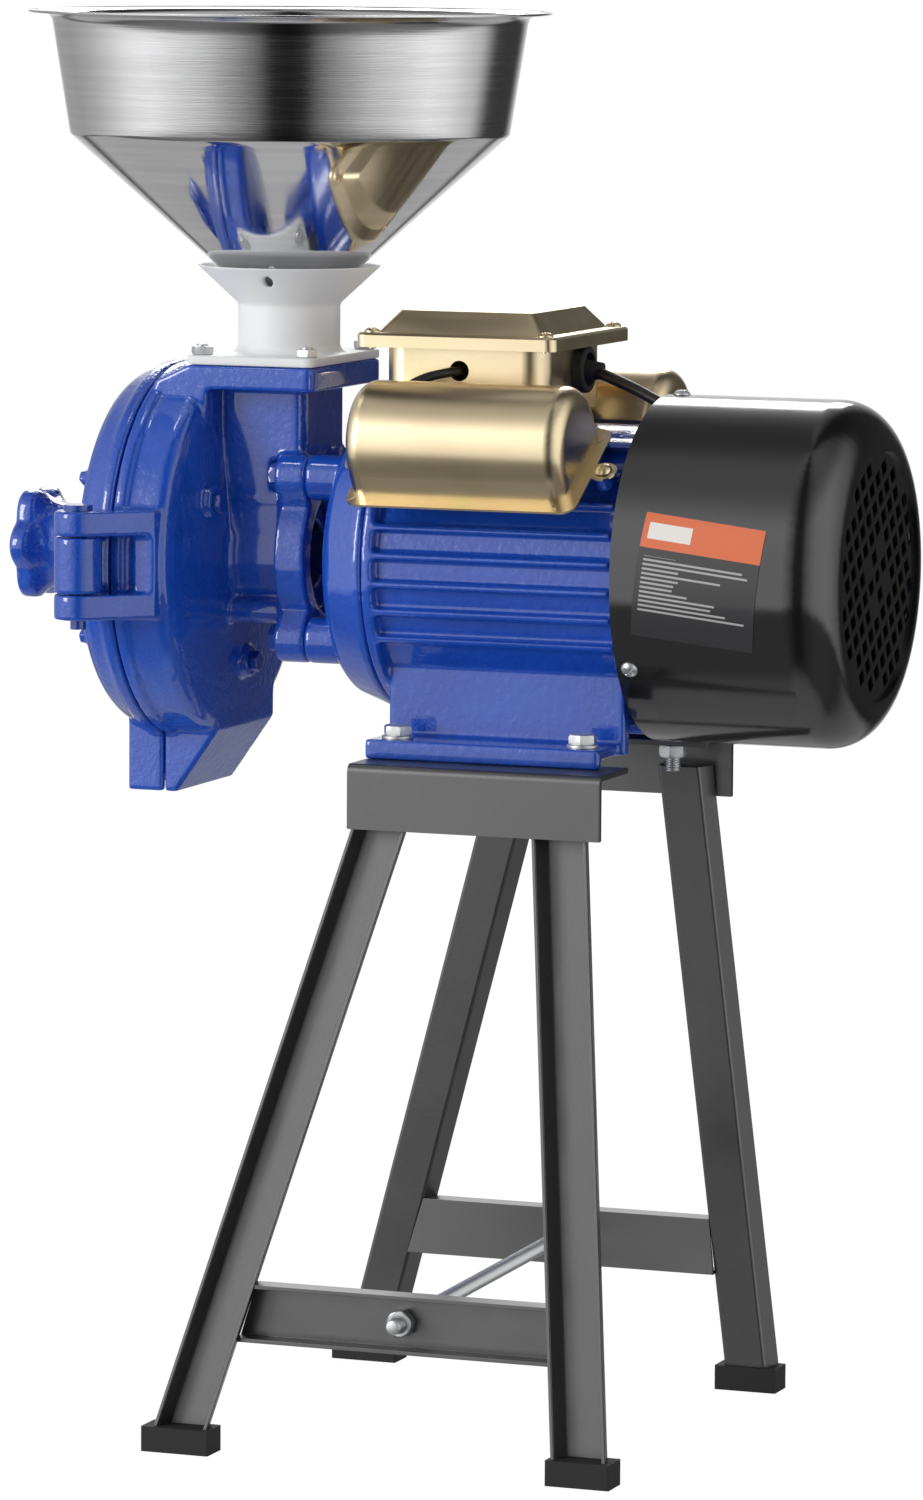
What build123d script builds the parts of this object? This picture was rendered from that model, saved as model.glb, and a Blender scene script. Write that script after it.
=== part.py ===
"""Electric disc mill for grain on a four-legged stand, as separate sub-parts.

Millimetres, +Z up. The model is built around the motor foot's bolt pattern, with the
floor at Z = 0 and the shaft along X. The last step moves it so that the origin is the
middle of the outer box at floor level. The mill is on the -X side, the fan on the +X side.
"""
import os
from math import asin, atan2, cos, degrees, pi, radians, sin, sqrt, tan

from build123d import *

# ---- stand -------------------------------------------------------------------------
plate_top = 354.4  # top face of the angles that carry the motor
angle_x0, angle_x1 = -64.2, 71.8
angle_half_y = 104.6  # outer face of each angle's apron
angle_depth = 33.2
angle_shelf = 43.0
angle_wall = 3.0
leg_width, leg_depth, leg_wall = 29.5, 13.5, 2.0
leg_web = 22.4  # width across the web; the flanges splay out to leg_width
leg_drop = 16.4  # the legs end this far below the plate
foot_half_y = 139.5  # outer face of the legs at the floor
foot_left_x, foot_right_x = -144.5, 76.3  # leg centres at the floor
head_left_x, head_right_x = -39.3, 46.4  # leg centres under the shelf
stretcher_height, stretcher_depth = 30.0, 12.5
front_stretcher_z, rear_stretcher_z = 73.0, 78.0
cap_height, cap_floor, cap_wall = 13.0, 4.0, 1.8
slot_gap = 0.15  # rubber cap to leg
rod_r = 4.0  # M8 threaded tie rod
rod_tail = 9.0  # rod past its outer nuts
nut_flats_m8, nut_height_m8 = 13.0, 6.5
nut_gap = 0.8  # the rod is slanted, so its nuts touch the webs on one edge only

# ---- motor -------------------------------------------------------------------------
shaft_height = 96.3  # shaft above the plate
frame_r, frame_core_r, frame_bore_r = 78.6, 72.5, 66.0
frame_x0, frame_x1 = -68.0, 68.0
fin_pitch, fin_thick = 14.5, 3.2
foot_x0, foot_x1 = -64.2, 62.3
foot_half_width, foot_thick = 80.7, 10.0
foot_hollow_y, foot_hollow_z, foot_boss_r = 74.5, 4.5, 9.0  # the foot is hollow below
pedestal_x0, pedestal_x1 = -62.0, 66.0
pedestal_half_y, pedestal_height = 52.0, 36.0
bolt_x, bolt_y = 50.0, 70.0  # foot bolts, M8
foot_hole_r, bolt_r = 4.5, 4.0
bolt_tail = 14.0
shield_x0, shield_rim_r = -93.0, 72.0
bearing_r, bearing_bore_r, bearing_width = 26.0, 12.5, 15.0
drive_bearing_x, fan_bearing_x = -90.5, 75.5
bearing_hub_r = 34.0
shaft_r, rotor_shaft_r, fan_shaft_r = 11.0, 15.0, 9.0
run_gap = 0.05  # radial running clearance of a shaft in its hole
press_gap = 0.02  # radial clearance drawn where the real fit is a press
stator_bore_r, core_half_length = 43.0, 45.0
air_gap = 0.4
winding_length = 15.0
switch_x, switch_length, switch_r = 50.0, 9.0, 30.0
cover_x0, cover_x1 = 70.0, 184.5
cover_r, cover_wall, cover_corner = 88.6, 1.2, 24.0
grille_r, grille_recess = 64.0, 2.0
grille_pitch, grille_hole, grille_turn = 11.0, 7.1, 27.5  # square holes, turned as a field
grille_rings, grille_centre_r = 26, 3.4  # holes up to this squared distance, in pitches
cover_screw_x = 77.0
cover_screw_angles = (90.0, -30.0, 210.0)
fan_x0, fan_x1, fan_r, fan_blades = 100.0, 128.0, 78.0, 9
label_x, label_z, label_length, label_height = 115.7, 1.0, 64.0, 62.0

# ---- terminal box, capacitors and leads ----------------------------------------------
box_centre_x, box_length, box_width, box_corner = -25.5, 88.0, 90.0, 12.0
box_height, sheet = 34.7, 1.5
lid_length, lid_width, lid_rim = 108.0, 116.0, 7.2
lid_rise, lid_margin, lid_bevel = 11.0, 9.0, 9.0
lid_screw_x, lid_screw_y, lid_screw_tail = 47.0, 51.0, 2.5
side_hole_z, side_hole_r = 21.5, 5.2
side_hole_x = -27.4
grommet_y, grommet_z, grommet_r, grommet_stand = 8.0, 20.8, 12.2, 5.7
switch_lead_r, capacitor_lead_r = 3.0, 2.4
cover_angle = 58.0  # how far the capacitor covers lean up from the sides
cover_seat = 80.4  # seat plane of a capacitor cover, from the shaft
cap_cover_x0, cap_cover_x1 = -69.5, 54.1
cap_cover_mid, cap_half_width = -29.0, 31.0
cap_cover_height, cap_flange, cap_sheet = 46.0, 5.0, 1.2
cap_end_round = 9.0
ear_r, ear_boss_r, left_ear_reach, right_ear_reach = 7.0, 5.0, 3.8, 5.0
capacitor_r, capacitor_lift = 20.0, 17.5
capacitor_x0, capacitor_x1 = -40.0, 44.0

# ---- mill --------------------------------------------------------------------------
seam_x = -197.8  # split plane between housing and door
seam_gap = 0.4
mill_r, mill_step, mill_wall = 98.5, 2.0, 9.0
housing_back_x, housing_cone = -167.0, 7.0
barrel_r, barrel_bore_r = 31.5, 22.0
chamber_x = -174.0
coupling_x = -113.0  # face where the mill meets the motor's lobes
coupling_thick, coupling_r = 17.0, 43.5
lobe_y, lobe_z, lobe_r = 31.0, 42.0, 12.0
lobe_bolt_r = 4.0
door_depth, door_edge_r, door_round = 23.0, 92.0, 6.0
door_boss_r, door_boss = 26.0, 11.0
hinge_x, hinge_y = -208.0, -114.5
hinge_r, hinge_pin_r = 12.4, 4.0
barrel_height, lug_height, hinge_gap = 29.0, 13.0, 0.4
clamp_y, clamp_lug_r = 112.0, 12.0
clamp_stud_r, clamp_hole_gap = 4.0, 1.2
spout_y0, spout_y1 = -26.0, 51.0
spout_drop, spout_door, spout_mouth = 125.7, 20.0, 7.0  # mouth below the shaft
spout_wall = 4.5
inlet_x, inlet_half_x, inlet_half_y = -138.8, 35.5, 49.0
flange_x = -141.6  # the flange is not centred on the neck
inlet_rise, inlet_thick = 99.3, 12.5  # flange top above the shaft
column_x0, column_x1, column_half_y = -164.0, -119.0, 30.0
passage_x0, passage_x1, passage_half_y = -158.0, -131.0, 17.0
burr_r, burr_thick, burr_gap, feed_r = 70.0, 10.0, 0.6, 23.0
carrier_r, carrier_thick = 50.0, 6.0
burr_bolt_r, burr_bolt_circle = 3.0, 58.0
burr_bolt_angles = (150.0, 270.0, 30.0)
auger_r, auger_hub_r, auger_pitch = 21.0, 14.0, 20.0
screw_r = 8.0  # M16 adjusting screw
pad_r, pad_thick = 9.0, 5.0
wheel_end_x, wheel_lobes = -284.4, 6
wheel_skirt_r, wheel_lobe_r, wheel_length = 22.0, 31.0, 50.0

# ---- feed funnel and hopper ----------------------------------------------------------
funnel_flange, neck_r, neck_height = 5.0, 26.5, 25.4
funnel_wall, funnel_rim_r, funnel_cone = 3.0, 47.9, 19.9
neck_bolt_x, neck_bolt_y, neck_bolt_r = 29.0, 40.5, 3.0
funnel_seat = 6.6  # the bore reaches this far above the neck, where the hopper sits
spigot_length = 20.0
hopper_wall = 0.8
hopper_rim_r, hopper_top_r, hopper_low_r = 135.4, 122.8, 113.7
hopper_rise, hopper_band = 144.2, 63.5  # rim above the seat, height of the upright band
hopper_slope = 1.12  # cone radius gained per unit of height
hopper_lip = 6.0

# ---- worked-out places ---------------------------------------------------------------
shaft_z = plate_top + shaft_height
shelf_under = plate_top - angle_wall
foot_top = plate_top + foot_thick
spout_bottom = shaft_z - spout_drop
inlet_top = shaft_z + inlet_rise
box_bottom = shaft_z + frame_r + 0.1
lid_z = box_bottom + box_height
coupling_back = coupling_x - coupling_thick
door_face_x = seam_x - door_depth
burr_face_x = chamber_x - burr_thick
rotor_burr_x = burr_face_x - burr_gap
shaft_end_x = rotor_burr_x - burr_thick - carrier_thick - 2.5
pad_x = shaft_end_x - 0.5
cone_start_z = inlet_top + funnel_flange + neck_height
neck_bore_r = neck_r - funnel_wall
seat_z = cone_start_z + funnel_seat
hopper_rim_z = seat_z + hopper_rise
hopper_low_z = hopper_rim_z - hopper_band
spigot_r = neck_bore_r - 0.5
sheet_origin_x = (wheel_end_x + cover_x1) / 2
move_to_origin = Pos(-sheet_origin_x, 0, 0)

nodes = {}


def block(x0, x1, y0, y1, z0, z1):
    """A box from its low and high faces."""
    return Pos((x0 + x1) / 2, (y0 + y1) / 2, (z0 + z1) / 2) * Box(x1 - x0, y1 - y0, z1 - z0)


def rod_x(r, x0, x1, y=0.0, z=shaft_z):
    """A cylinder along X."""
    return Pos((x0 + x1) / 2, y, z) * Rot(0, 90, 0) * Cylinder(r, x1 - x0)


def rod_z(r, z0, z1, x=0.0, y=0.0):
    """A cylinder along Z."""
    return Pos(x, y, (z0 + z1) / 2) * Cylinder(r, z1 - z0)


def turned_x(points):
    """A solid turned about the shaft, from an outline of (x, radius) points."""
    outline = make_face(Polyline(*[(x, 0, r) for x, r in points], close=True))
    return Pos(0, 0, shaft_z) * revolve(outline, Axis.X, 360)


def turned_z(points, x=0.0, y=0.0):
    """A solid turned about a vertical axis, from an outline of (radius, z) points."""
    outline = make_face(Polyline(*[(r, 0, z) for r, z in points], close=True))
    return Pos(x, y, 0) * revolve(outline, Axis.Z, 360)


def hex_z(flats, height, z0, x=0.0, y=0.0):
    """A hexagonal prism standing on z0."""
    face = RegularPolygon(flats / sqrt(3), 6)
    return Pos(x, y, z0) * extrude(face, height)


def hex_x(flats, x0, x1, y, z):
    """A hexagonal prism along X."""
    face = Plane.YZ.offset(x0) * RegularPolygon(flats / sqrt(3), 6)
    return Pos(0, y, z) * extrude(face, x1 - x0)


def around(angle, r):
    """The (y, z) place at an angle from +Y about the shaft."""
    return r * cos(radians(angle)), shaft_z + r * sin(radians(angle))


# ---- stand ---------------------------------------------------------------------------
def top_angle(side):
    """One steel angle: a shelf under the motor foot and an apron outside the legs."""
    outer = side * angle_half_y
    inner = side * (angle_half_y - angle_shelf)
    y0, y1 = sorted((outer, inner))
    shelf = block(angle_x0, angle_x1, y0, y1, shelf_under, plate_top)
    a0, a1 = sorted((outer, outer - side * angle_wall))
    apron = block(angle_x0, angle_x1, a0, a1, plate_top - angle_depth, plate_top)
    angle = shelf + apron
    bend = angle.edges().filter_by(Axis.X).group_by(Axis.Z)[-1]
    angle = fillet(bend.sort_by(Axis.Y)[-1 if side > 0 else 0], angle_wall + 1)
    for x in (-bolt_x, bolt_x):
        angle -= rod_z(foot_hole_r, shelf_under - 1, plate_top + 1, x, side * bolt_y)
    return angle


apron_bottom = plate_top - angle_depth
leg_slope_y = (foot_half_y - angle_half_y + angle_wall + 0.2) / apron_bottom


def leg_centre_x(foot_x, head_x, z):
    """The leg's middle in X at a height."""
    return foot_x + (head_x - foot_x) * z / shelf_under


def leg_outer_y(z):
    """The outer face of the legs in Y at a height."""
    return foot_half_y - leg_slope_y * z


def leg_prism(face, foot_x, head_x, side, z0, z1):
    """A face drawn about the leg's outer middle, drawn up along the leg's slope."""
    run = Vector(head_x - foot_x, -side * leg_slope_y * shelf_under, shelf_under)
    start = Pos(leg_centre_x(foot_x, head_x, z0), side * leg_outer_y(z0), z0)
    return extrude(start * face, amount=(z1 - z0) * run.length / shelf_under, dir=run.normalized())


leg_splay = (leg_width - leg_web) / 2 / leg_depth


def splayed_face(side, tip_half, y_tip, y_web):
    """A trapezoid with a given half width at the flange tips, narrowing at the splay."""
    web_half = tip_half - leg_splay * (y_tip - y_web)
    outline = Polyline((-tip_half, side * y_tip), (tip_half, side * y_tip),
                       (web_half, side * y_web), (-web_half, side * y_web), close=True)
    return make_face(outline)


def leg_envelope(side, grow=0.0):
    """The leg's outer trapezoid, with its outer middle at the origin."""
    slant = sqrt(1 + leg_splay ** 2)
    return splayed_face(side, leg_width / 2 + grow * (slant + leg_splay), grow, -leg_depth - grow)


def channel_face(side, grow=0.0):
    """The leg's channel section, open outwards, with splayed flanges."""
    slant = sqrt(1 + leg_splay ** 2)
    wall = (leg_wall + grow) * slant
    hollow = splayed_face(side, leg_width / 2 - wall + leg_splay * (grow + 1), grow + 1,
                          -leg_depth + leg_wall + grow)
    return leg_envelope(side, grow) - hollow


def leg(foot_x, head_x, side):
    """One pressed channel leg, level at both ends."""
    shape = leg_prism(channel_face(side), foot_x, head_x, side, cap_floor + slot_gap,
                      plate_top - leg_drop)
    web_edges = shape.edges().filter_by(GeomType.LINE).filter_by(
        lambda e: abs(e.length) > 0.8 * shelf_under)
    back = web_edges.sort_by(lambda e: -side * e.center().Y)[-2:]
    return fillet(back, leg_wall * 0.9)


def cap_centre(foot_x, head_x, side):
    """The middle of a foot cap, over its half height."""
    z = cap_height / 2
    return leg_centre_x(foot_x, head_x, z), side * (leg_outer_y(z) - leg_depth / 2)


def foot_cap(foot_x, head_x, side):
    """One upright rubber cap, slotted for the leaning channel."""
    x, y = cap_centre(foot_x, head_x, side)
    lean_x = abs(head_x - foot_x) / shelf_under * cap_height
    size_x = leg_width + 2 * cap_wall + lean_x
    size_y = leg_depth + 2 * cap_wall + leg_slope_y * cap_height
    cap = Pos(x, y, 0) * extrude(RectangleRounded(size_x, size_y, 1.0), cap_height)
    slot = leg_prism(channel_face(side, slot_gap), foot_x, head_x, side, cap_floor,
                     cap_height + 1)
    return cap - slot


def stretcher(side, z_mid):
    """The channel between the two legs of one side, cut to their flanges."""
    z0, z1 = z_mid - stretcher_height / 2, z_mid + stretcher_height / 2
    outer = leg_outer_y(z1) - 0.5
    y0, y1 = sorted((side * outer, side * (outer - stretcher_depth)))
    bar = block(leg_centre_x(foot_left_x, head_left_x, z_mid),
                leg_centre_x(foot_right_x, head_right_x, z_mid), y0, y1, z0, z1)
    h0, h1 = sorted((side * (outer + 1), side * (outer - stretcher_depth + leg_wall)))
    bar -= block(-400, 400, h0, h1, z0 + leg_wall, z1 - leg_wall)
    behind_web = Pos(0, -side * (leg_depth + stretcher_depth / 2 - 1)) * Rectangle(
        leg_web, stretcher_depth)
    for foot_x, head_x in ((foot_left_x, head_left_x), (foot_right_x, head_right_x)):
        for face in (leg_envelope(side), behind_web):
            bar -= leg_prism(face, foot_x, head_x, side, z0 - 5, z1 + 5)
    return bar.solids().sort_by(SortBy.VOLUME)[-1]


def stretcher_web_y(z_mid):
    """The inner face of a stretcher's web."""
    return leg_outer_y(z_mid + stretcher_height / 2) - 0.5 - stretcher_depth


rod_x_place = (leg_centre_x(foot_left_x, head_left_x, front_stretcher_z)
               + leg_centre_x(foot_right_x, head_right_x, front_stretcher_z)) / 2
rod_front = Vector(rod_x_place, -stretcher_web_y(front_stretcher_z), front_stretcher_z)
rod_rear = Vector(rod_x_place, stretcher_web_y(rear_stretcher_z), rear_stretcher_z)
rod_along = (rod_rear - rod_front).normalized()


def along_rod(start, length, r):
    """A cylinder on the tie rod's line."""
    return extrude(Plane(origin=start, z_dir=rod_along) * Circle(r), length)


def tie_rod():
    """The threaded rod between the stretchers."""
    start = rod_front - rod_along * (leg_wall + nut_height_m8 + rod_tail)
    length = (rod_rear - rod_front).length + 2 * (leg_wall + nut_height_m8 + rod_tail)
    return along_rod(start, length, rod_r)


def tie_rod_nuts():
    """Four nuts that clamp the stretcher webs on the rod."""
    nuts = []
    for end, way in ((rod_front, -1), (rod_rear, 1)):
        for offset in (leg_wall + nut_gap, -nut_height_m8 - nut_gap):
            plane = Plane(origin=end + rod_along * (way * offset), z_dir=rod_along * way)
            nut = extrude(plane * RegularPolygon(nut_flats_m8 / sqrt(3), 6), nut_height_m8)
            nuts.append(nut - along_rod(end - rod_along * 20, 40, rod_r + run_gap))
    return nuts


def drilled_stretcher(side, z_mid):
    """A stretcher with the hole for the tie rod."""
    start = (rod_front if side < 0 else rod_rear) - rod_along * 20
    return stretcher(side, z_mid) - along_rod(start, 40, rod_r + 0.5)


# ---- motor ---------------------------------------------------------------------------
def motor_frame():
    """The finned cast frame with its foot."""
    body = rod_x(frame_core_r, frame_x0, frame_x1)
    limit = rod_x(frame_r, frame_x0 + 2, frame_x1 - 2)
    for step in range(-3, 5):
        z = shaft_z + (step + 0.5) * fin_pitch
        fin = block(frame_x0, frame_x1, -frame_r, frame_r, z - fin_thick / 2, z + fin_thick / 2)
        body += fin & limit
    body += rod_x(frame_r, frame_x0, frame_x0 + 6)
    body += block(pedestal_x0, pedestal_x1, -pedestal_half_y, pedestal_half_y,
                  plate_top, foot_top + pedestal_height)
    body += block(foot_x0, foot_x1, -foot_half_width, foot_half_width, plate_top, foot_top)
    pad_x0 = box_centre_x - box_length / 2 + 6
    pad_x1 = box_centre_x + box_length / 2 - 6
    body += block(pad_x0, pad_x1, -34, 34, shaft_z + 55, box_bottom)
    for side in (-1, 1):
        body += ear_boss(side, ear_places()[1])
    body -= block(foot_x0 - 1, pedestal_x1 + 1, -foot_hollow_y, foot_hollow_y,
                  plate_top - 1, plate_top + foot_hollow_z)
    body -= block(foot_x0 - 1, pedestal_x1 + 1, -pedestal_half_y + 9, pedestal_half_y - 9,
                  plate_top - 1, foot_top + 8)
    for x in (-bolt_x, bolt_x):
        for y in (-bolt_y, bolt_y):
            body += rod_z(foot_boss_r, plate_top, foot_top, x, y)
    body -= rod_x(frame_bore_r, frame_x0 - 1, frame_x1 + 1)
    for x in (-bolt_x, bolt_x):
        for y in (-bolt_y, bolt_y):
            body -= rod_z(foot_hole_r, plate_top - 1, foot_top + 1, x, y)
    return body


def drive_end_shield():
    """The bowl-shaped end shield with four lobes that carry the mill."""
    x0, x1 = shield_x0, frame_x0
    outer = turned_x([(x0, 0), (x0, shield_rim_r - 4), (x0 + 4, shield_rim_r),
                      (x1 - 3, frame_r), (x1, frame_r), (x1, 0)])
    inner = turned_x([(x0 + 7, 0), (x0 + 7, shield_rim_r - 10), (x1 + 1, frame_bore_r - 5),
                      (x1 + 1, 0)])
    shield = outer - inner
    shield += rod_x(bearing_hub_r, x0, drive_bearing_x + bearing_width / 2 + 4)
    shield += rod_x(frame_bore_r - press_gap, x1 - 2, x1 + 4) - rod_x(
        frame_bore_r - 5, x1 - 3, x1 + 5)
    for side in (-1, 1):
        shield += ear_boss(side, ear_places()[0])
    for y in (-lobe_y, lobe_y):
        for z in (-lobe_z, lobe_z):
            shield += rod_x(lobe_r, coupling_x, x0 + 5, y, shaft_z + z)
    seat0 = drive_bearing_x - bearing_width / 2 - press_gap
    shield -= rod_x(bearing_r + press_gap, seat0, 0)
    shield -= rod_x(bearing_bore_r + 3, x0 - 1, 0)
    for y in (-lobe_y, lobe_y):
        for z in (-lobe_z, lobe_z):
            shield -= rod_x(lobe_bolt_r + run_gap, coupling_x - 1, coupling_x + 14, y, shaft_z + z)
    return shield


def fan_end_shield():
    """The flat end shield with three pads that hold the fan cover."""
    x0 = frame_x1
    shield = rod_x(frame_r, x0, x0 + 7)
    shield += rod_x(bearing_hub_r, x0, fan_bearing_x + bearing_width / 2 + 4)
    pad_r = cover_r - cover_wall - 0.2
    for angle in cover_screw_angles:
        y, z = around(angle, (pad_r + 60) / 2)
        pad = Pos((x0 + 14) - 7, y, z) * Rot(angle, 0, 0) * Box(14, pad_r - 60, 9)
        shield += pad & rod_x(pad_r, x0, x0 + 14)
    shield += rod_x(frame_bore_r - press_gap, x0 - 4, x0 + 1) - rod_x(
        frame_bore_r - 5, x0 - 5, x0 + 2)
    shield -= rod_x(bearing_r + press_gap, 0, fan_bearing_x + bearing_width / 2 + press_gap)
    shield -= rod_x(bearing_bore_r + 3, 0, x0 + 40)
    for angle in cover_screw_angles:
        shield -= radial_rod(angle, 2.1, cover_r - 14, cover_r, cover_screw_x)
    y, z = switch_lead_points()[-1][1:]
    shield -= rod_x(switch_lead_r + 0.2, x0 - 1, x0 + 20, y, z)
    return shield


def radial_rod(angle, r, r0, r1, x):
    """A cylinder that points away from the shaft."""
    y, z = around(angle, (r0 + r1) / 2)
    return Pos(x, y, z) * Rot(angle - 90, 0, 0) * Cylinder(r, r1 - r0)


def motor_shaft():
    """The stepped shaft, from the burr carrier to the fan."""
    left = drive_bearing_x - bearing_width / 2
    right = fan_bearing_x + bearing_width / 2
    return turned_x([
        (shaft_end_x, 0), (shaft_end_x, shaft_r), (left - 8, shaft_r),
        (left - 8, bearing_bore_r - run_gap), (left + bearing_width + 2, bearing_bore_r - run_gap),
        (left + bearing_width + 2, rotor_shaft_r), (right - bearing_width - 2, rotor_shaft_r),
        (right - bearing_width - 2, bearing_bore_r - run_gap), (right + 6, bearing_bore_r - run_gap),
        (right + 6, fan_shaft_r), (fan_x1 + 4, fan_shaft_r), (fan_x1 + 4, 0)])


def bearing(x):
    """A deep-groove ball bearing drawn as one grooved ring."""
    half = bearing_width / 2
    ring = rod_x(bearing_r, x - half, x + half) - rod_x(bearing_bore_r, x - half - 1, x + half + 1)
    for x0, x1 in ((x - half - 1, x - half + 1.5), (x + half - 1.5, x + half + 1)):
        ring -= rod_x(bearing_r - 4, x0, x1) - rod_x(bearing_bore_r + 4, x0, x1)
    return ring


def ring_x(outer, inner, x0, x1):
    """A plain ring about the shaft."""
    return rod_x(outer, x0, x1) - rod_x(inner, x0 - 1, x1 + 1)


def cooling_fan():
    """The radial fan: a hub, a back plate and straight blades."""
    fan = rod_x(20, fan_x0, fan_x1) + rod_x(fan_r, fan_x0, fan_x0 + 2.5)
    for i in range(fan_blades):
        angle = 360 * i / fan_blades
        y, z = around(angle, (18 + fan_r) / 2)
        blade = Pos((fan_x0 + fan_x1) / 2, y, z) * Rot(angle, 0, 0) * Box(
            fan_x1 - fan_x0, fan_r - 19, 2.5)
        fan += blade
    return fan - rod_x(fan_shaft_r + press_gap, fan_x0 - 1, fan_x1 + 1)


def cover_shell(grow):
    """The fan cover's filled shape, grown or shrunk by grow."""
    r, c = cover_r + grow, cover_corner + grow
    end = cover_x1 + grow
    shape = rod_x(r, cover_x0, end)
    return fillet(shape.edges().group_by(Axis.X)[-1], c)


def grille_holes():
    """The cutters of the grille's square holes and of its round middle hole."""
    steps = int(sqrt(grille_rings))
    face = Plane.YZ * Rectangle(grille_hole, grille_hole)
    holes = [rod_x(grille_centre_r, cover_x1 - 8, cover_x1 + 2)]
    for i in range(-steps, steps + 1):
        for j in range(-steps, steps + 1):
            solid_spot = abs(i) == 1 and abs(j) == 1
            if (i, j) != (0, 0) and not solid_spot and i * i + j * j <= grille_rings:
                hole = extrude(face, 10)
                holes.append(Pos(0, 0, shaft_z) * Rot(grille_turn, 0, 0) * Pos(
                    cover_x1 - 8, i * grille_pitch, j * grille_pitch) * hole)
    return holes


def fan_cover():
    """The pressed fan cover, with a set-in grille in its end."""
    cover = cover_shell(0)
    cover -= rod_x(grille_r, cover_x1 - grille_recess, cover_x1 + 1)
    inner = cover_shell(-cover_wall) - rod_x(
        grille_r + cover_wall, cover_x1 - grille_recess - cover_wall, cover_x1 + 1)
    cover -= inner & block(cover_x0 - 1, cover_x1, -100, 100, shaft_z - 100, shaft_z + 100)
    cover -= grille_holes()
    for angle in cover_screw_angles:
        cover -= radial_rod(angle, 2.3, cover_r - 6, cover_r + 4, cover_screw_x)
    return cover


def cover_screws():
    """Three pan-head screws round the fan cover."""
    screws = []
    for angle in cover_screw_angles:
        head = radial_rod(angle, 4.4, cover_r + 0.1, cover_r + 2.7, cover_screw_x)
        head += radial_rod(angle, 2.0, cover_r - 12, cover_r + 0.2, cover_screw_x)
        screws.append(head)
    return screws


def rating_label():
    """The blank label that is stuck to the side of the fan cover."""
    tube = rod_x(cover_r + 0.35, cover_x0, cover_x1) - rod_x(cover_r + 0.05, cover_x0, cover_x1)
    window = Pos(label_x, -cover_r, shaft_z + label_z) * Rot(0, 6.5, 0) * Box(label_length, 60, label_height)
    return tube & window


# ---- terminal box, capacitors and leads ----------------------------------------------
def rounded_plate(length, width, corner, z0, z1, x=box_centre_x):
    """A level plate with round corners."""
    return Pos(x, 0, z0) * extrude(RectangleRounded(length, width, corner), z1 - z0)


def terminal_box():
    """The open pressed box on top of the motor."""
    box = rounded_plate(box_length, box_width, box_corner, box_bottom, lid_z)
    box += rounded_plate(lid_length - 8, lid_width - 8, 4, lid_z - sheet, lid_z)
    box -= rounded_plate(box_length - 2 * sheet, box_width - 2 * sheet, box_corner - sheet,
                         box_bottom + sheet, lid_z + 1)
    wall_x = box_centre_x + box_length / 2
    box -= rod_x(grommet_r - 2.4, wall_x - 5, wall_x + 5, grommet_y, box_bottom + grommet_z)
    hole = Pos(side_hole_x, 0, box_bottom + side_hole_z) * Rot(90, 0, 0) * Cylinder(
        side_hole_r, box_width + 10)
    box -= hole
    for x in (-lid_screw_x, lid_screw_x):
        for y in (-lid_screw_y, lid_screw_y):
            box -= rod_z(2.1, lid_z - 5, lid_z + 5, box_centre_x + x, y)
    return box


def lid_outline(inset, z0, rise):
    """The lid's raised middle: a frustum with bevelled sides."""
    low = Plane.XY.offset(z0) * RectangleRounded(
        lid_length - 2 * lid_margin - inset, lid_width - 2 * lid_margin - inset, 3)
    high = Plane.XY.offset(z0 + rise) * RectangleRounded(
        lid_length - 2 * (lid_margin + lid_bevel) - inset,
        lid_width - 2 * (lid_margin + lid_bevel) - inset, 3)
    return Pos(box_centre_x, 0, 0) * loft([low, high])


def terminal_box_lid():
    """The pressed lid with a turned-down rim."""
    z1 = lid_z + lid_rim
    lid = rounded_plate(lid_length, lid_width, 5, lid_z - sheet, z1 - sheet)
    lid = chamfer(lid.edges().group_by(Axis.Z)[-1], 1.2)
    lid += lid_outline(0, z1 - sheet, lid_rise)
    lid -= rounded_plate(lid_length - 2 * sheet, lid_width - 2 * sheet, 4, lid_z - sheet - 1,
                         lid_z + 0.2)
    lid -= rounded_plate(lid_length - 2 * lid_margin - 8, lid_width - 2 * lid_margin - 8, 3,
                         lid_z - sheet - 1, z1 - 2 * sheet)
    lid -= Pos(0, 0, -sheet) * lid_outline(2, z1 - sheet - 0.01, lid_rise)
    for x in (-lid_screw_x, lid_screw_x):
        for y in (-lid_screw_y, lid_screw_y):
            lid -= rod_z(2.3, lid_z - 3, z1 + 3, box_centre_x + x, y)
    return lid


def lid_screws():
    """Four pan-head screws in the lid's corners."""
    top = lid_z + lid_rim - sheet + 0.1
    screws = []
    for x in (-lid_screw_x, lid_screw_x):
        for y in (-lid_screw_y, lid_screw_y):
            place = (box_centre_x + x, y)
            head = rod_z(4.2, top, top + 2.4, *place)
            head += rod_z(2.0, lid_z - lid_screw_tail, top + 0.1, *place)
            screws.append(head)
    return screws


def terminal_block():
    """The connection block on the box floor."""
    z0 = box_bottom + sheet + 0.1
    base = block(box_centre_x - 26, box_centre_x + 14, -14, 14, z0, z0 + 8)
    for i in range(3):
        x = box_centre_x - 18 + 12 * i
        base += rod_z(2.5, z0 + 8, z0 + 15, x, -6) + rod_z(2.5, z0 + 8, z0 + 15, x, 6)
    return base


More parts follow.
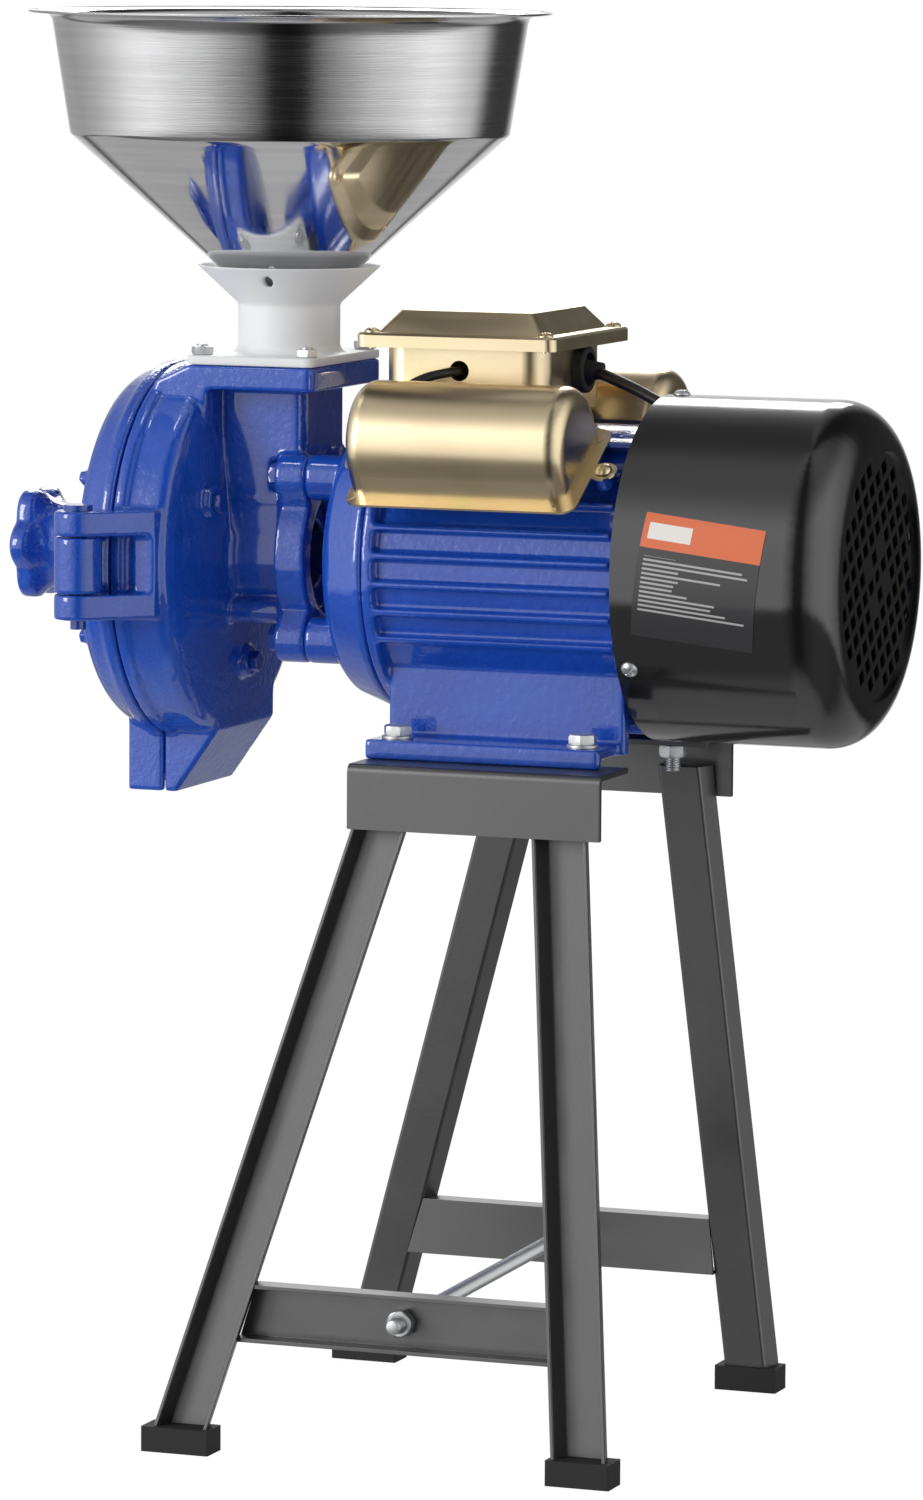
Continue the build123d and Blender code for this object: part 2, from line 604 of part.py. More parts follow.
def lead(points, r):
    """A lead along its route, with the largest arcs that its runs allow."""
    corners = [Vector(p) for p in points]
    radii = []
    for a, b, c in zip(corners, corners[1:], corners[2:]):
        turn = radians((b - a).get_angle(c - b))
        radii.append(0.45 * min((b - a).length, (c - b).length) / tan(turn / 2))
    path = FilletPolyline(*points, radius=radii)
    along = corners[1] - corners[0]
    tube = sweep(Plane(origin=corners[0], z_dir=along) * Circle(r), path=path)
    print("lead radii", [round(x, 1) for x in radii], "volume",
          round(tube.volume / (pi * r * r * path.length), 4), "length", round(path.length, 1))
    return tube


def switch_lead_points():
    """The route of the lead from the box to the fan-end shield."""
    z = box_bottom + grommet_z
    wall = box_centre_x + box_length / 2
    return [(wall - 16, grommet_y, z + 0.5), (wall + 8, grommet_y, z - 0.5),
            (wall + 34, -2.6, shaft_z + 91.2), (frame_x1 + 5, -10.5, shaft_z + 82.6),
            (frame_x1 + 19, -11.5, shaft_z + 74.0), (frame_x1 + 20.0, -12.0, shaft_z + 54.0),
            (frame_x1 + 3.0, -12.0, shaft_z + 54.0)]


def capacitor_lead_points(side):
    """The route of the short lead from the box into a capacitor's cover."""
    z = box_bottom + side_hole_z
    return [(side_hole_x + 1, side * (box_width / 2 - 7), z),
            (side_hole_x - 1.5, side * (box_width / 2 + 6), z),
            (side_hole_x - 14, side * (box_width / 2 + 15), z - 3),
            (side_hole_x - 26, side * (box_width / 2 + 20), z - 11),
            (side_hole_x - 28, side * (box_width / 2 + 22), z - 24)]


def lead_grommet():
    """The rubber grommet in the box's end wall."""
    wall = box_centre_x + box_length / 2
    z = box_bottom + grommet_z
    ring = rod_x(grommet_r, wall + 0.1, wall + grommet_stand, grommet_y, z)
    ring = fillet(ring.edges().group_by(Axis.X)[-1], 1.6)
    ring -= rod_x(grommet_r - 3.4, wall + 1.8, wall + 9, grommet_y, z)
    ring += rod_x(grommet_r - 2.6, wall - sheet - 2, wall + 1.9, grommet_y, z)
    nose = Pos(wall + 7.0, grommet_y, z - 0.6) * Rot(0, 90, 0) * Cone(6.0, 4.2, 12)
    return ring + nose


def on_cover(side, s, n):
    """The (y, z) place at s along and n above a capacitor cover's seat plane."""
    up, out = sin(radians(cover_angle)), cos(radians(cover_angle))
    y = -out * (cover_seat + n) + up * s
    z = up * (cover_seat + n) + out * s
    return -side * y, shaft_z + z


def cover_plane(side, x):
    """The plane across a capacitor cover: its X is along the seat, its Y points out."""
    y0, z0 = on_cover(side, 0, 0)
    y1, z1 = on_cover(side, 1, 0)
    return Plane(origin=(x, y0, z0), x_dir=(0, y1 - y0, z1 - z0), z_dir=(-side, 0, 0))


def cover_bulge(side, inset):
    """The D-shaped bulge of a capacitor cover, with its ends rounded."""
    x0, x1 = cap_cover_x0 + 1.5 + inset, cap_cover_x1 - cap_flange - inset
    half, tall = cap_half_width - inset, cap_cover_height - inset
    low = -0.4 if inset else 0.0
    plane = cover_plane(side, x0 if side < 0 else x1)
    outline = Pos(cap_cover_mid, tall - half) * (Circle(half) + Pos(0, -half / 2) * Rectangle(
        2 * half, half))
    outline = outline & Pos(cap_cover_mid, low + tall) * Rectangle(4 * half, 2 * tall)
    shape = extrude(plane * outline, x1 - x0)
    ends = [f for f in shape.faces() if abs(f.normal_at().X) > 0.9]
    edges = [e for f in ends for e in f.edges()
             if abs(e.center().Y - on_cover(side, cap_cover_mid, low)[0]) > 1.0
             or abs(e.center().Z - on_cover(side, cap_cover_mid, low)[1]) > 1.0]
    return fillet(edges, cap_end_round - inset)


def ear_places():
    """The X places of the two screws that hold a capacitor cover."""
    return cap_cover_x0 - left_ear_reach, cap_cover_x1 + right_ear_reach


def ear_boss(side, x):
    """The boss under one ear of a capacitor cover."""
    y0, z0 = on_cover(side, cap_cover_mid, -9.0)
    y1, z1 = on_cover(side, cap_cover_mid, -0.3)
    base = Plane(origin=(x, y0, z0), z_dir=(0, y1 - y0, z1 - z0)) * Circle(ear_boss_r)
    return extrude(base, 8.7)


def capacitor_cover(side):
    """One pressed capacitor cover: a bulge, a flange all round and two ears."""
    x0, x1 = cap_cover_x0 - 0.5, cap_cover_x1
    half = cap_half_width + cap_flange
    middle = (x0 + x1) / 2
    flange = RectangleRounded(x1 - x0, 2 * half, 8)
    y, z = on_cover(side, cap_cover_mid, 0)
    y1, z1 = on_cover(side, cap_cover_mid, 1)
    seat = Plane(origin=(middle, y, z), x_dir=(1, 0, 0), z_dir=(0, y1 - y, z1 - z))
    sheet_plate = extrude(seat * flange, cap_sheet)
    for x in ear_places():
        edge = (x0 if x < 0 else x1) - middle
        ear = Pos(x - middle, 0) * Circle(ear_r) + Pos((x - middle + edge) / 2, 0) * Rectangle(
            abs(x - middle - edge) + 2, 1.6 * ear_r)
        sheet_plate += extrude(seat * ear, cap_sheet)
    cover = sheet_plate + cover_bulge(side, 0) - cover_bulge(side, cap_sheet)
    for x in ear_places():
        cover -= extrude(seat * (Pos(x - middle, 0) * Circle(2.3)), 4, both=True)
    return cover - lead(capacitor_lead_points(side), capacitor_lead_r + 1.4)


def capacitor(side):
    """One capacitor can with its two tags."""
    y, z = on_cover(side, cap_cover_mid, capacitor_lift)
    can = rod_x(capacitor_r, capacitor_x0, capacitor_x1, y, z)
    can = fillet(can.edges(), 1.5)
    for way in (-5, 5):
        can += block(capacitor_x0 - 6, capacitor_x0 + 1, y + way - 0.5, y + way + 0.5, z - 3, z + 3)
    return can


def ear_screws():
    """The four screws of the two capacitor covers."""
    screws = []
    for side in (-1, 1):
        for x in ear_places():
            y0, z0 = on_cover(side, cap_cover_mid, cap_sheet + 0.1)
            y1, z1 = on_cover(side, cap_cover_mid, 10)
            seat = Plane(origin=(x, y0, z0), z_dir=(0, y1 - y0, z1 - z0))
            screws.append(extrude(seat * Circle(4.6), 2.6) + extrude(seat * Circle(2.0), -1.0))
    return screws


def foot_bolts():
    """Four hexagon bolts with washers through the motor foot."""
    bolts = []
    for x in (-bolt_x, bolt_x):
        for y in (-bolt_y, bolt_y):
            bolt = rod_z(8.0, foot_top + 0.1, foot_top + 1.7, x, y)
            bolt += hex_z(nut_flats_m8, 5.5, foot_top + 1.6, x, y)
            bolt += rod_z(bolt_r, shelf_under - bolt_tail, foot_top + 1, x, y)
            bolts.append(bolt)
    return bolts


def foot_nuts():
    """The four nuts under the shelf."""
    nuts = []
    for x in (-bolt_x, bolt_x):
        for y in (-bolt_y, bolt_y):
            nut = hex_z(nut_flats_m8, nut_height_m8, shelf_under - 0.1 - nut_height_m8, x, y)
            nuts.append(nut - rod_z(bolt_r + run_gap, shelf_under - 20, shelf_under + 5, x, y))
    return nuts


# ---- mill ----------------------------------------------------------------------------
def lobed_plate(x0, x1):
    """The four-lobed plate that faces the motor."""
    outline = Circle(coupling_r)
    for y in (-lobe_y, lobe_y):
        for z in (-lobe_z, lobe_z):
            arm = degrees(atan2(z, y))
            reach = sqrt(lobe_y ** 2 + lobe_z ** 2)
            outline += Rot(0, 0, arm) * Pos(reach / 2, 0) * Rectangle(reach, 2 * lobe_r)
            outline += Pos(y, z) * Circle(lobe_r)
    return Pos(0, 0, shaft_z) * extrude(Plane.YZ.offset(x0) * outline, x1 - x0)


def spout(x_points, z_points, y0, y1):
    """A block with a side outline of (x, z) points, across y0 to y1."""
    outline = Polyline(*[(x, 0, z) for x, z in zip(x_points, z_points)], close=True)
    return Pos(0, y1, 0) * extrude(make_face(outline), amount=y1 - y0, dir=(0, -1, 0))


def hinge_lug(z0, z1):
    """One housing lug round the hinge pin, with an arm that tapers into the rim."""
    end_x, end_y = housing_back_x - 5, -mill_r + 0.5
    dx, dy = hinge_x - end_x, hinge_y - end_y
    run = sqrt(dx ** 2 + dy ** 2 - hinge_r ** 2)
    way = atan2(dy, dx) + asin(hinge_r / sqrt(dx ** 2 + dy ** 2))
    tangent = (end_x + run * cos(way), end_y + run * sin(way))
    root_y = -mill_r + 14
    outline = Polyline((hinge_x, hinge_y), tangent, (end_x, end_y), (end_x, root_y),
                       (seam_x + 1.5, root_y), (seam_x + 1.5, -mill_r - 1.6),
                       (hinge_x, -mill_r - 1.6 - 2), close=True)
    lug = rod_z(hinge_r, z0, z1, hinge_x, hinge_y)
    lug += Pos(0, 0, z0) * extrude(make_face(outline), z1 - z0)
    return lug - rod_z(hinge_pin_r + 0.03, z0 - 1, z1 + 1, hinge_x, hinge_y)


def mill_housing():
    """The fixed half of the mill: chamber, barrel, inlet, lobed plate, spout and lugs."""
    back, cone = housing_back_x, housing_back_x + housing_cone
    body = turned_x([
        (seam_x, 0), (seam_x, mill_r), (seam_x + 6, mill_r), (seam_x + 8, mill_r - mill_step),
        (back - 7, mill_r - mill_step), (back - 2, mill_r - mill_step - 2),
        (back, mill_r - mill_step - 7), (cone, barrel_r + 3), (cone + 4, barrel_r),
        (coupling_back, barrel_r), (coupling_back, 0)])
    body += lobed_plate(coupling_back, coupling_x - 0.1)
    for z in (-1, 1):
        body += rod_x(6.5, back, coupling_back + 2, -24, shaft_z + z * 28.6)
        body += rod_x(6.5, back, coupling_back + 2, 24, shaft_z + z * 28.6)
    column = block(column_x0, column_x1, -column_half_y, column_half_y, shaft_z + 12, inlet_top)
    column = fillet(column.edges().filter_by(Axis.Z), 5)
    body += column
    flange = Pos(flange_x, 0, inlet_top - inlet_thick) * extrude(
        RectangleRounded(2 * inlet_half_x, 2 * inlet_half_y, 5), inlet_thick)
    body += flange
    flange_left = flange_x - inlet_half_x
    body += spout((flange_left + 2, seam_x + 3, seam_x + 3, back + 2, back + 2),
                  (inlet_top, inlet_top - 9, inlet_top - 22, inlet_top - 30, inlet_top - 2),
                  -inlet_half_y, inlet_half_y)
    body += spout((seam_x, seam_x + spout_mouth, back, back, seam_x),
                  (spout_bottom, spout_bottom, spout_bottom + 34, shaft_z - 52, shaft_z - 52),
                  spout_y0, spout_y1)
    lug_low = shaft_z - barrel_height / 2 - hinge_gap
    lug_high = shaft_z + barrel_height / 2 + hinge_gap
    body += hinge_lug(lug_high, lug_high + lug_height)
    body += hinge_lug(lug_low - lug_height, lug_low)
    body += block(seam_x + 13, back - 5, -mill_r - 0.8, -mill_r + 14, lug_low - 1, lug_high + 1)
    clamp = block(seam_x, seam_x + 14, mill_r - 14, clamp_y, shaft_z - clamp_lug_r,
                  shaft_z + clamp_lug_r)
    body += clamp + rod_x(clamp_lug_r, seam_x, seam_x + 14, clamp_y)
    for angle in burr_bolt_angles:
        y, z = around(angle, burr_bolt_circle)
        body += rod_x(8.5, back - 4, back + 8.5, y, z)
    # hollows
    body -= rod_x(mill_r - mill_wall, seam_x - 1, chamber_x)
    body -= rod_x(barrel_bore_r, chamber_x - 1, coupling_back - 4)
    body -= rod_x(shaft_r + 6, coupling_back - 5, coupling_back + 5)
    body -= rod_x(coupling_r - 12, coupling_back + 5, coupling_x + 1)
    body -= block(passage_x0, passage_x1, -passage_half_y, passage_half_y, shaft_z,
                  inlet_top + 1)
    body -= spout((seam_x - 1, seam_x + spout_mouth - spout_wall,
                   back - spout_wall - 1.5, back - spout_wall - 1.5, seam_x - 1),
                  (spout_bottom - 1, spout_bottom - 1, spout_bottom + 34, shaft_z - 54,
                   shaft_z - 54), spout_y0 + spout_wall, spout_y1 - spout_wall)
    body -= rod_x(clamp_stud_r + clamp_hole_gap, seam_x - 1, seam_x + 20, clamp_y)
    for angle in burr_bolt_angles:
        y, z = around(angle, burr_bolt_circle)
        body -= rod_x(burr_bolt_r + 0.1, chamber_x - 5, back + 20, y, z)
    for y in (-lobe_y, lobe_y):
        for z in (-lobe_z, lobe_z):
            body -= rod_x(lobe_bolt_r + 0.3, coupling_back - 1, coupling_x + 1, y, shaft_z + z)
            body -= rod_x(8.3, coupling_back - 7, coupling_back, y, shaft_z + z)
    for x in (-neck_bolt_x, neck_bolt_x):
        for y in (-neck_bolt_y, neck_bolt_y):
            body -= rod_z(neck_bolt_r + 0.03, inlet_top - 11.5, inlet_top + 1, flange_x + x, y)
    return body


def mill_door():
    """The swinging cover of the grinding chamber."""
    x0 = seam_x - seam_gap
    face = door_face_x
    door = turned_x([
        (x0, 0), (x0, mill_r), (x0 - 6, mill_r), (x0 - 8, mill_r - mill_step),
        (face + door_round, door_edge_r + 1), (face + 2, door_edge_r - 2),
        (face, door_edge_r - door_round), (face - 3, door_boss_r + 14), (face - 3, 0)])
    door += turned_x([(face, 0), (face, door_boss_r + 5), (face - 3.5, door_boss_r),
                      (face - door_boss, door_boss_r), (face - door_boss, 0)])
    for i in range(6):
        y, z = around(60 * i + 30, 56)
        rib = Pos(face - 1.5, y, z) * Rot(60 * i + 30, 0, 0) * Box(7, 58, 6)
        door += rib
    door += spout((x0, x0 - spout_door, x0 - spout_door, x0),
                  (spout_bottom, spout_bottom, shaft_z - 52, shaft_z - 52), spout_y0, spout_y1)
    z0, z1 = shaft_z - barrel_height / 2, shaft_z + barrel_height / 2
    door += rod_z(hinge_r, z0, z1, hinge_x, hinge_y)
    door += block(face + 4, x0 - 3.5, hinge_y, -mill_r + 14, z0 + 1.5, z1 - 1.5)
    door += block(x0 - 14, x0, mill_r - 14, clamp_y, shaft_z - clamp_lug_r, shaft_z + clamp_lug_r)
    door += rod_x(clamp_lug_r, x0 - 14, x0, clamp_y)
    # hollows
    door -= rod_x(mill_r - mill_wall, face + 8, x0 + 1)
    door -= spout((x0 + 1, x0 - spout_door + spout_wall, x0 - spout_door + spout_wall, x0 + 1),
                  (spout_bottom - 1, spout_bottom - 1, shaft_z - 54, shaft_z - 54),
                  spout_y0 + spout_wall, spout_y1 - spout_wall)
    door -= rod_x(pad_r + 2, face + 1.5, x0)
    door -= rod_x(screw_r + run_gap, face - door_boss - 1, x0)
    door -= rod_z(hinge_pin_r + 0.03, z0 - 1, z1 + 1, hinge_x, hinge_y)
    door -= rod_x(clamp_stud_r + run_gap, x0 - 15, x0 + 1, clamp_y)
    return door


def hinge_pin():
    """The hinge pin with its flat head."""
    top = shaft_z + barrel_height / 2 + hinge_gap + lug_height
    bottom = shaft_z - barrel_height / 2 - hinge_gap - lug_height
    pin = rod_z(hinge_pin_r, bottom - 5, top + 1, hinge_x, hinge_y)
    return pin + rod_z(7.5, top + 0.1, top + 3, hinge_x, hinge_y)


def coupling_bolts():
    """Four bolts that hold the mill on the motor's lobes."""
    bolts = []
    for y in (-lobe_y, lobe_y):
        for z in (-lobe_z, lobe_z):
            z_bolt = shaft_z + z
            x0 = coupling_back - 0.1
            bolt = hex_x(nut_flats_m8, x0 - 5.3, x0, y, z_bolt)
            bolts.append(bolt + rod_x(lobe_bolt_r, x0 - 1, coupling_x + 12, y, z_bolt))
    return bolts


def burr_bolts():
    """Three bolts through the back wall into the fixed burr."""
    bolts = []
    for angle in burr_bolt_angles:
        y, z = around(angle, burr_bolt_circle)
        x0 = housing_back_x + 8.6
        bolt = hex_x(10, x0, x0 + 4, y, z)
        bolts.append(bolt + rod_x(burr_bolt_r, chamber_x - 6, x0 + 0.5, y, z))
    return bolts


def burr(x0, x1, bore, face_x):
    """A grinding ring with radial furrows on one face."""
    ring = ring_x(burr_r, bore, x0, x1)
    for i in range(12):
        angle = 30 * i
        y, z = around(angle, (burr_r + bore) / 2)
        groove = Pos(face_x, y, z) * Rot(angle + 12, 0, 0) * Box(3, burr_r - bore + 20, 4)
        ring -= groove
    return ring


def fixed_burr():
    """The burr bolted to the housing wall."""
    ring = burr(burr_face_x, chamber_x - 0.1, feed_r, burr_face_x)
    for angle in burr_bolt_angles:
        y, z = around(angle, burr_bolt_circle)
        ring -= rod_x(burr_bolt_r + press_gap, chamber_x - 6.5, chamber_x + 1, y, z)
    return ring


def rotating_burr():
    """The burr that turns with the shaft."""
    return burr(rotor_burr_x - burr_thick, rotor_burr_x, shaft_r + 12, rotor_burr_x)


def burr_carrier():
    """The disc that carries the rotating burr on the shaft."""
    back = rotor_burr_x - burr_thick - 0.1
    disc = rod_x(carrier_r, back - carrier_thick, back)
    disc += rod_x(shaft_r + 11.8, back - 1, rotor_burr_x - 1)
    return disc - rod_x(shaft_r + press_gap, back - 20, rotor_burr_x + 5)


def feed_auger():
    """The feed screw on the shaft, under the inlet."""
    x0, x1 = chamber_x - 4, coupling_back - 8
    hub = rod_x(auger_hub_r, x0, x1)
    turns = Helix(auger_pitch, x1 - x0 - 6, (auger_r + auger_hub_r) / 2, direction=(0, 0, 1))
    section = Plane(origin=turns @ 0, z_dir=turns % 0, x_dir=(1, 0, 0)) * Rectangle(
        auger_r - auger_hub_r + 3, 3)
    flight = sweep(section, path=turns, is_frenet=True)
    flight = Pos(x0 + 3, 0, shaft_z) * Rot(0, 90, 0) * flight
    auger = hub + (flight & rod_x(auger_r, x0, x1))
    return auger - rod_x(shaft_r + press_gap, x0 - 1, x1 + 1)


def shaft_seal():
    """The felt seal where the shaft leaves the barrel."""
    return ring_x(shaft_r + 5.8, shaft_r + run_gap, coupling_back - 3.5, coupling_back + 3.5)


def handwheel():
    """The lobed cast wheel on the adjusting screw."""
    outline = Circle(wheel_skirt_r + 1)
    for i in range(wheel_lobes):
        angle = 360 * i / wheel_lobes
        outline += Rot(0, 0, angle) * Pos(wheel_lobe_r - 9, 0) * Circle(9)
    star = Pos(0, 0, shaft_z) * extrude(Plane.YZ.offset(wheel_end_x) * outline, 11)
    star = fillet(star.edges().group_by(Axis.X)[0], 3)
    skirt_end = wheel_end_x + wheel_length
    skirt = turned_x([
        (wheel_end_x + 6, 0), (wheel_end_x + 6, wheel_lobe_r - 4), (wheel_end_x + 11, wheel_lobe_r - 5),
        (wheel_end_x + 17, wheel_skirt_r + 1), (wheel_end_x + 22, wheel_skirt_r),
        (skirt_end, wheel_skirt_r), (skirt_end, 0)])
    wheel = star + skirt
    wheel -= turned_x([(skirt_end + 1, 0), (skirt_end + 1, wheel_skirt_r - 5),
                       (wheel_end_x + 22, wheel_skirt_r - 6), (wheel_end_x + 22, 0)])
    wheel += rod_x(13, wheel_end_x + 12, wheel_end_x + 28)
    return wheel - rod_x(screw_r + press_gap, wheel_end_x + 6, skirt_end)


def adjusting_screw():
    """The screw between the handwheel and the thrust pad."""
    return rod_x(screw_r, wheel_end_x + 6.5, pad_x - pad_thick - 0.1)


def thrust_pad():
    """The pad that bears on the shaft's end and sets the gap between the burrs."""
    return turned_x([(pad_x, 0), (pad_x, 4), (pad_x - 2, pad_r - 1), (pad_x - 3, pad_r),
                     (pad_x - pad_thick, pad_r), (pad_x - pad_thick, 0)])


def clamp_knob():
    """The knob that holds the door shut, with its stud."""
    x0 = seam_x - seam_gap - 14
    base = x0 - 2.7
    outline = Circle(11)
    for i in range(5):
        outline += Rot(0, 0, 72 * i) * Pos(10, 0) * Circle(5)
    knob = Pos(0, clamp_y, shaft_z) * extrude(Plane.YZ.offset(base - 22) * outline, 15)
    knob += rod_x(8, base - 8, base, clamp_y)
    return knob + rod_x(clamp_stud_r, base - 5, seam_x + 9, clamp_y)


def clamp_washer():
    """The washer under the clamp knob."""
    x0 = seam_x - seam_gap - 14
    washer = rod_x(9, x0 - 2.6, x0 - 0.1, clamp_y)
    return washer - rod_x(clamp_stud_r + run_gap, x0 - 4, x0 + 1, clamp_y)


# ---- feed funnel and hopper ----------------------------------------------------------
def feed_funnel():
    """The cast funnel between the inlet and the hopper."""
    z0 = inlet_top + 0.1
    z1 = inlet_top + funnel_flange
    flange = Pos(flange_x, 0, z0) * extrude(
        RectangleRounded(2 * inlet_half_x, 2 * inlet_half_y, 5), z1 - z0)
    flange = fillet(flange.edges().group_by(Axis.Z)[-1], 1.2)
    rim_z = cone_start_z + funnel_cone
    body = turned_z([(0, z0 + 1), (neck_r + 2.5, z0 + 1), (neck_r + 2.5, z1), (neck_r, z1 + 3),
                     (neck_r, cone_start_z), (funnel_rim_r, rim_z), (0, rim_z)], inlet_x)
    funnel = flange + body
    bore = turned_z([(0, z0 - 1), (neck_bore_r, z0 - 1), (neck_bore_r, seat_z),
                     (funnel_rim_r - funnel_wall, rim_z + 0.02), (0, rim_z + 0.02)], inlet_x)
    funnel -= bore
    hole = Plane(origin=(inlet_x, 0, cone_start_z + 9), z_dir=(0.1, -1, 0.1)) * Circle(2.6)
    funnel -= extrude(hole, 60)
    for x in (-neck_bolt_x, neck_bolt_x):
        for y in (-neck_bolt_y, neck_bolt_y):
            funnel -= rod_z(neck_bolt_r + 0.3, z0 - 1, z1 + 1, flange_x + x, y)
    return funnel


def funnel_bolts():
    """Four small hexagon bolts in the funnel's flange."""
    z1 = inlet_top + funnel_flange + 0.1
    bolts = []
    for x in (-neck_bolt_x, neck_bolt_x):
        for y in (-neck_bolt_y, neck_bolt_y):
            bolt = hex_z(10, 4, z1, flange_x + x, y) + rod_z(3.4, z1, z1 + 5.5, flange_x + x, y)
            bolts.append(bolt + rod_z(neck_bolt_r, inlet_top - 11, z1 + 1, flange_x + x, y))
    return bolts


def hopper():
    """The spun sheet hopper: rim, wall, cone and spigot."""
    w = hopper_wall
    cone_z = seat_z + (neck_bore_r - spigot_r) / hopper_slope + 0.3
    low_z = cone_z + (hopper_low_r - spigot_r) / hopper_slope
    spigot_z = seat_z - spigot_length
    rim = hopper_rim_z
    slant = w * sqrt(1 + hopper_slope ** 2) / hopper_slope
    side = (hopper_top_r - hopper_low_r) / (rim - hopper_lip - low_z)
    outer = [(spigot_r, spigot_z), (spigot_r, cone_z), (hopper_low_r, low_z),
             (hopper_low_r + side * (rim - hopper_lip - low_z), rim - hopper_lip),
             (hopper_top_r + 1.6, rim - 3.0), (hopper_top_r + 4.6, rim - 1.6),
             (hopper_rim_r - 1, rim - w - 0.4), (hopper_rim_r, rim - w)]
    inner = [(hopper_rim_r, rim), (hopper_top_r + 4.2, rim - 1.6 + w),
             (hopper_top_r + 0.8, rim - 2.6 + w), (hopper_top_r - w, rim - hopper_lip + 0.4),
             (hopper_low_r - w, low_z + 0.35), (spigot_r - w, cone_z + slant - 0.55),
             (spigot_r - w, spigot_z)]
    return turned_z(outer + inner, inlet_x)


def build():
    """Every sub-part by its node's name."""
    sides = {"front": -1, "rear": 1}
    heights = {"front": front_stretcher_z, "rear": rear_stretcher_z}
    corners = {"left": (foot_left_x, head_left_x), "right": (foot_right_x, head_right_x)}
    for place, side in sides.items():
        nodes[f"{place}_top_angle"] = top_angle(side)
        nodes[f"{place}_stretcher"] = drilled_stretcher(side, heights[place])
        for end, (foot_x, head_x) in corners.items():
            nodes[f"leg_{place}_{end}"] = leg(foot_x, head_x, side)
            nodes[f"foot_cap_{place}_{end}"] = foot_cap(foot_x, head_x, side)
        nodes[f"{place}_capacitor_cover"] = capacitor_cover(side)
        nodes[f"{place}_capacitor"] = capacitor(side)
    nodes["capacitor_leads"] = [lead(capacitor_lead_points(side), capacitor_lead_r)
                                for side in sides.values()]
    nodes["tie_rod"] = tie_rod()
    nodes["tie_rod_nuts"] = tie_rod_nuts()
    nodes["motor_frame"] = motor_frame()
    nodes["drive_end_shield"] = drive_end_shield()
    nodes["fan_end_shield"] = fan_end_shield()
    nodes["stator_core"] = ring_x(frame_bore_r - press_gap, stator_bore_r,
                                  -core_half_length, core_half_length)
    nodes["stator_windings"] = [
        ring_x(frame_bore_r - 3, stator_bore_r + 3, x0, x0 + winding_length)
        for x0 in (-core_half_length - winding_length - 0.1, core_half_length + 0.1)]
    nodes["rotor_core"] = ring_x(stator_bore_r - air_gap, rotor_shaft_r + press_gap,
                                 -core_half_length, core_half_length)
    nodes["motor_shaft"] = motor_shaft()
    nodes["centrifugal_switch"] = ring_x(switch_r, rotor_shaft_r + press_gap, switch_x,
                                         switch_x + switch_length)
    nodes["drive_end_bearing"] = bearing(drive_bearing_x)
    nodes["fan_end_bearing"] = bearing(fan_bearing_x)
    nodes["cooling_fan"] = cooling_fan()
    nodes["fan_cover"] = fan_cover()
    nodes["fan_cover_screws"] = cover_screws()
    nodes["rating_label"] = rating_label()
    nodes["terminal_box"] = terminal_box()
    nodes["terminal_box_lid"] = terminal_box_lid()
    nodes["lid_screws"] = lid_screws()
    nodes["terminal_block"] = terminal_block()
    nodes["lead_grommet"] = lead_grommet() - lead(switch_lead_points(), switch_lead_r + 0.1)
    nodes["switch_lead"] = lead(switch_lead_points(), switch_lead_r)
    nodes["capacitor_cover_screws"] = ear_screws()
    nodes["motor_foot_bolts"] = foot_bolts()
    nodes["motor_foot_nuts"] = foot_nuts()
    nodes["mill_housing"] = mill_housing()
    nodes["mill_door"] = mill_door()
    nodes["hinge_pin"] = hinge_pin()
    nodes["coupling_bolts"] = coupling_bolts()
    nodes["burr_bolts"] = burr_bolts()
    nodes["fixed_burr"] = fixed_burr()
    nodes["rotating_burr"] = rotating_burr()
    nodes["burr_carrier"] = burr_carrier()
    nodes["feed_auger"] = feed_auger()
    nodes["shaft_seal"] = shaft_seal()
    nodes["adjusting_screw"] = adjusting_screw()
    nodes["thrust_pad"] = thrust_pad()
    nodes["handwheel"] = handwheel()
    nodes["clamp_knob"] = clamp_knob()
    nodes["clamp_washer"] = clamp_washer()
    nodes["feed_funnel"] = feed_funnel()
    nodes["funnel_bolts"] = funnel_bolts()
    nodes["hopper"] = hopper()


def save():
    """Writes each node, moved to the final origin, to its STEP file."""
    os.makedirs("parts", exist_ok=True)
    for name, shape in nodes.items():
        solids = []
        for piece in shape if isinstance(shape, list) else [shape]:
            solids += list(piece.solids())
        moved = [move_to_origin * solid for solid in solids]
        export_step(moved[0] if len(moved) == 1 else Compound(children=moved),
                    f"parts/{name}.step")


build()
save()
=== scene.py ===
"""Looks of an electric disc mill for grain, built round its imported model."""

import logging
import math
from collections.abc import Callable
from dataclasses import dataclass, field
from enum import Enum

import bmesh
import bpy
from mathutils import Matrix, Vector


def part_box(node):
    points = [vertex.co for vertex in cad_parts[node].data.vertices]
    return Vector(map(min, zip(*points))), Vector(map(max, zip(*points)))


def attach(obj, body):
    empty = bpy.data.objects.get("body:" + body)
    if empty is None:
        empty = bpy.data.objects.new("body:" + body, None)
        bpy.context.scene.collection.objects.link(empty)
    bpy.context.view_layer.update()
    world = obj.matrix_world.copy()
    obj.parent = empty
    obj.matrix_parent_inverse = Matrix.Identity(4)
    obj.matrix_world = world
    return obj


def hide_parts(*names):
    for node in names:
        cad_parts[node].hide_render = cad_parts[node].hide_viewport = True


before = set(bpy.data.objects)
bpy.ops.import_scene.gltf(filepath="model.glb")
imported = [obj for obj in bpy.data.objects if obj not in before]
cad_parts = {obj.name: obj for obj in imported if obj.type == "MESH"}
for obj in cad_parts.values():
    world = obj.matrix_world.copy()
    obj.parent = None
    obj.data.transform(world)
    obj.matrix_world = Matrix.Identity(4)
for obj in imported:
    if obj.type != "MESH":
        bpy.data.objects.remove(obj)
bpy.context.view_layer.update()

Colour = tuple[float, float, float]
Points = list[tuple[float, float]]
